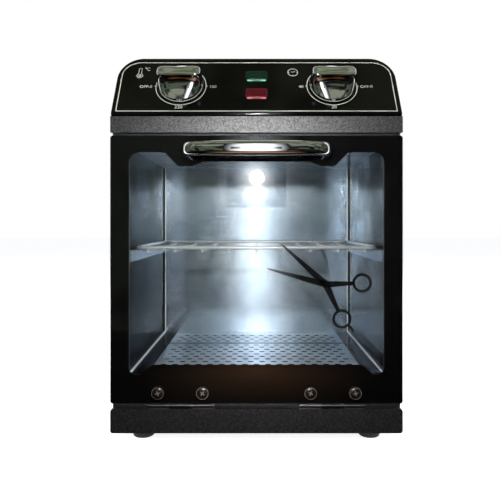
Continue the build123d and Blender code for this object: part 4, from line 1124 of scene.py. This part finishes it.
world = bpy.data.worlds.new("studio")
bpy.context.scene.world = world
world.use_nodes = True
tree = world.node_tree
soft = tree.nodes["Background"]
soft.inputs["Color"].default_value = (0.80, 0.86, 0.95, 1.0)
soft.inputs["Strength"].default_value = 0.14
white = Wire(tree).add("ShaderNodeBackground", inputs={"Color": (1.0, 1.0, 1.0, 1.0), "Strength": 1.0})
mixed = white.add("ShaderNodeMixShader", inputs={0: seen(tree), 1: Wire(tree, soft.outputs[0]), 2: white})
mixed.plug(mixed, tree.nodes["World Output"].inputs["Surface"])


def plain(name, shader):
    """A stage material with this one shader."""
    material = bpy.data.materials.new(name)
    material.use_nodes = True
    material.node_tree.nodes.remove(material.node_tree.nodes["Principled BSDF"])
    surface(material, shader(material.node_tree))
    return material


def stage_quad(name, corners, material):
    """A flat four-cornered stage object."""
    mesh = bpy.data.meshes.new(name)
    mesh.from_pydata(corners, [], [(0, 1, 2, 3)])
    mesh.materials.append(material)
    made = show(name, mesh)
    return made


def floor_shader(tree):
    """White matte paint that also glows for what looks at it."""
    matte = Wire(tree).add("ShaderNodeBsdfDiffuse", inputs={"Color": (0.80, 0.80, 0.80, 1.0)})
    glow = matte.add("ShaderNodeEmission", inputs={"Strength": 0.88 * seen(tree)})
    return matte.add("ShaderNodeAddShader", inputs={0: matte, 1: glow})


round_square, floor_reach = ((-1, -1), (1, -1), (1, 1), (-1, 1)), 6.0
floor_corners = [(floor_reach * x, floor_reach * y, table) for x, y in round_square]
stage_quad("floor", floor_corners, plain("floor_white", floor_shader))


# %% [markdown]
# ## Cards for the mirrors
# Chrome, glass and polished steel look like what they mirror, so a studio puts dark and light boards
# round them. These boards glow, but only for rays that come off a mirror, and they light nothing.
# Two glows stand for the small lamp where it would take too many samples to find it by chance: a
# halo round it, and a tall soft column behind it, which the brushed steel shows as a white streak.

# %% One card
def mirror_card(name, corners, strength):
    """A studio card for the mirrors: it glows, lights nothing, and casts no shadow.

    Its shader counts mirror bounces: a ray that has met no mirror passes through, so the card can't
    be seen through the door's glass. Returns the Object coordinates and the colour's socket.
    """
    black = (0.0, 0.0, 0.0, 1.0)
    constants = {"Base_Color": black, "Specular_IOR_Level": 0.0, "Emission_Strength": strength}
    material, shader, place = blank(name, **constants)
    bounces = place.add("ShaderNodeLightPath", output="Glossy Depth")
    mirrored = bounces.maths("MINIMUM", bounces, 1.0)
    clear = place.add("ShaderNodeBsdfTransparent")
    inputs = {0: mirrored, 1: clear, 2: Wire(place.tree, shader.outputs[0])}
    surface(material, place.add("ShaderNodeMixShader", inputs=inputs))
    made = stage_quad(name, corners, material)
    made.visible_camera = made.visible_diffuse = made.visible_shadow = False
    return place, shader.inputs["Emission Color"]


def card(name, corners, dark, light):
    """Card with soft patches from dark to light."""
    place, colour = mirror_card(name, corners, 1.0)
    place.plug(noise(place, 9.0, 1.0).between(0.42, 0.58).tint(dark, light), colour)


def upright_card(name, start, end, low, high, dark, light):
    """Card standing upright over the line from one (x, y) to another, between two heights."""
    card(name, [(*start, low), (*end, low), (*end, high), (*start, high)], dark, light)


def level_card(name, half, y0, y1, z, dark, light):
    """Card lying level from y0 to y1."""
    card(name, [(-half, y0, z), (half, y0, z), (half, y1, z), (-half, y1, z)], dark, light)


def glow_spot(name, centre, along, reach, colour, strength, exponent, upright=1.0):
    """Card as wide as its glow, spread to both sides of its centre by the vector along.

    The glow falls from the centre as (1 - r / reach) to a power. Heights count for r divided by
    upright, so that a value above 1 draws the glow out upwards.
    """
    across, along = np.array([reach, 0.0, 0.0]), np.array(along)
    corners = [centre + x * across + y * along for x, y in round_square]
    place, socket = mirror_card(name, corners, strength)
    squashed = place.vectors("MULTIPLY", place, (1.0, 1.0, 1.0 / upright))
    flat_centre = (centre[0], centre[1], centre[2] / upright)
    rest = 1.0 - squashed.vectors("DISTANCE", squashed, flat_centre, output="Value") * (1 / reach)
    fade = rest.maths("MAXIMUM", rest, 0.0).power(exponent)
    place.plug(fade.tint((0.0, 0.0, 0.0), colour), socket)


# %% Glows for the small lamp and for the warm table under it
near, far, side = front - 0.42, front + 0.25, 0.60
halo, warm, column = 45 * MM, 0.15, 75 * MM
place = (0.0, lens_lamp_place[1] - 2 * MM, lens_lamp_place[2])
glow_spot("lamp_halo", place, (0.0, 0.0, halo), halo, (1.0, 0.98, 0.94), 18.0, 3.0)
place = (0.0, front - 0.20, 2 * MM)
glow_spot("warm_table", place, (0.0, warm, 0.0), warm, (0.74, 0.37, 0.20), 1.0, 1.9)
place = (0.0, near + 5 * MM, 0.20)
glow_spot("lamp_smear", place, (0.0, 0.0, 0.35), column, (0.95, 0.98, 1.0), 4.4, 2.0, upright=12.0)

# %% Boards round the room
left_end, right_end, step, top = (-side, near), (side, near), 0.34, 0.95
upright_card("low_front_card", left_end, right_end, 0.0, step, (0.008, 0.009, 0.008), (0.09, 0.11, 0.08))
upright_card("high_front_card", left_end, right_end, step, top, (0.05, 0.06, 0.045), (0.26, 0.28, 0.22))
upright_card("left_card", left_end, (-side, front), 0.0, top, (0.05, 0.06, 0.04), (0.13, 0.15, 0.11))
upright_card("right_card", right_end, (side, front), 0.0, top, (0.03, 0.035, 0.03), (0.08, 0.09, 0.07))
level_card("ceiling_card", side, near, far, 0.9, (0.12, 0.14, 0.085), (0.26, 0.28, 0.20))
level_card("dark_table", side, near - 0.05, front, 1 * MM, (0.004, 0.003, 0.003), (0.010, 0.008, 0.007))
print("floor, world and cards are set")
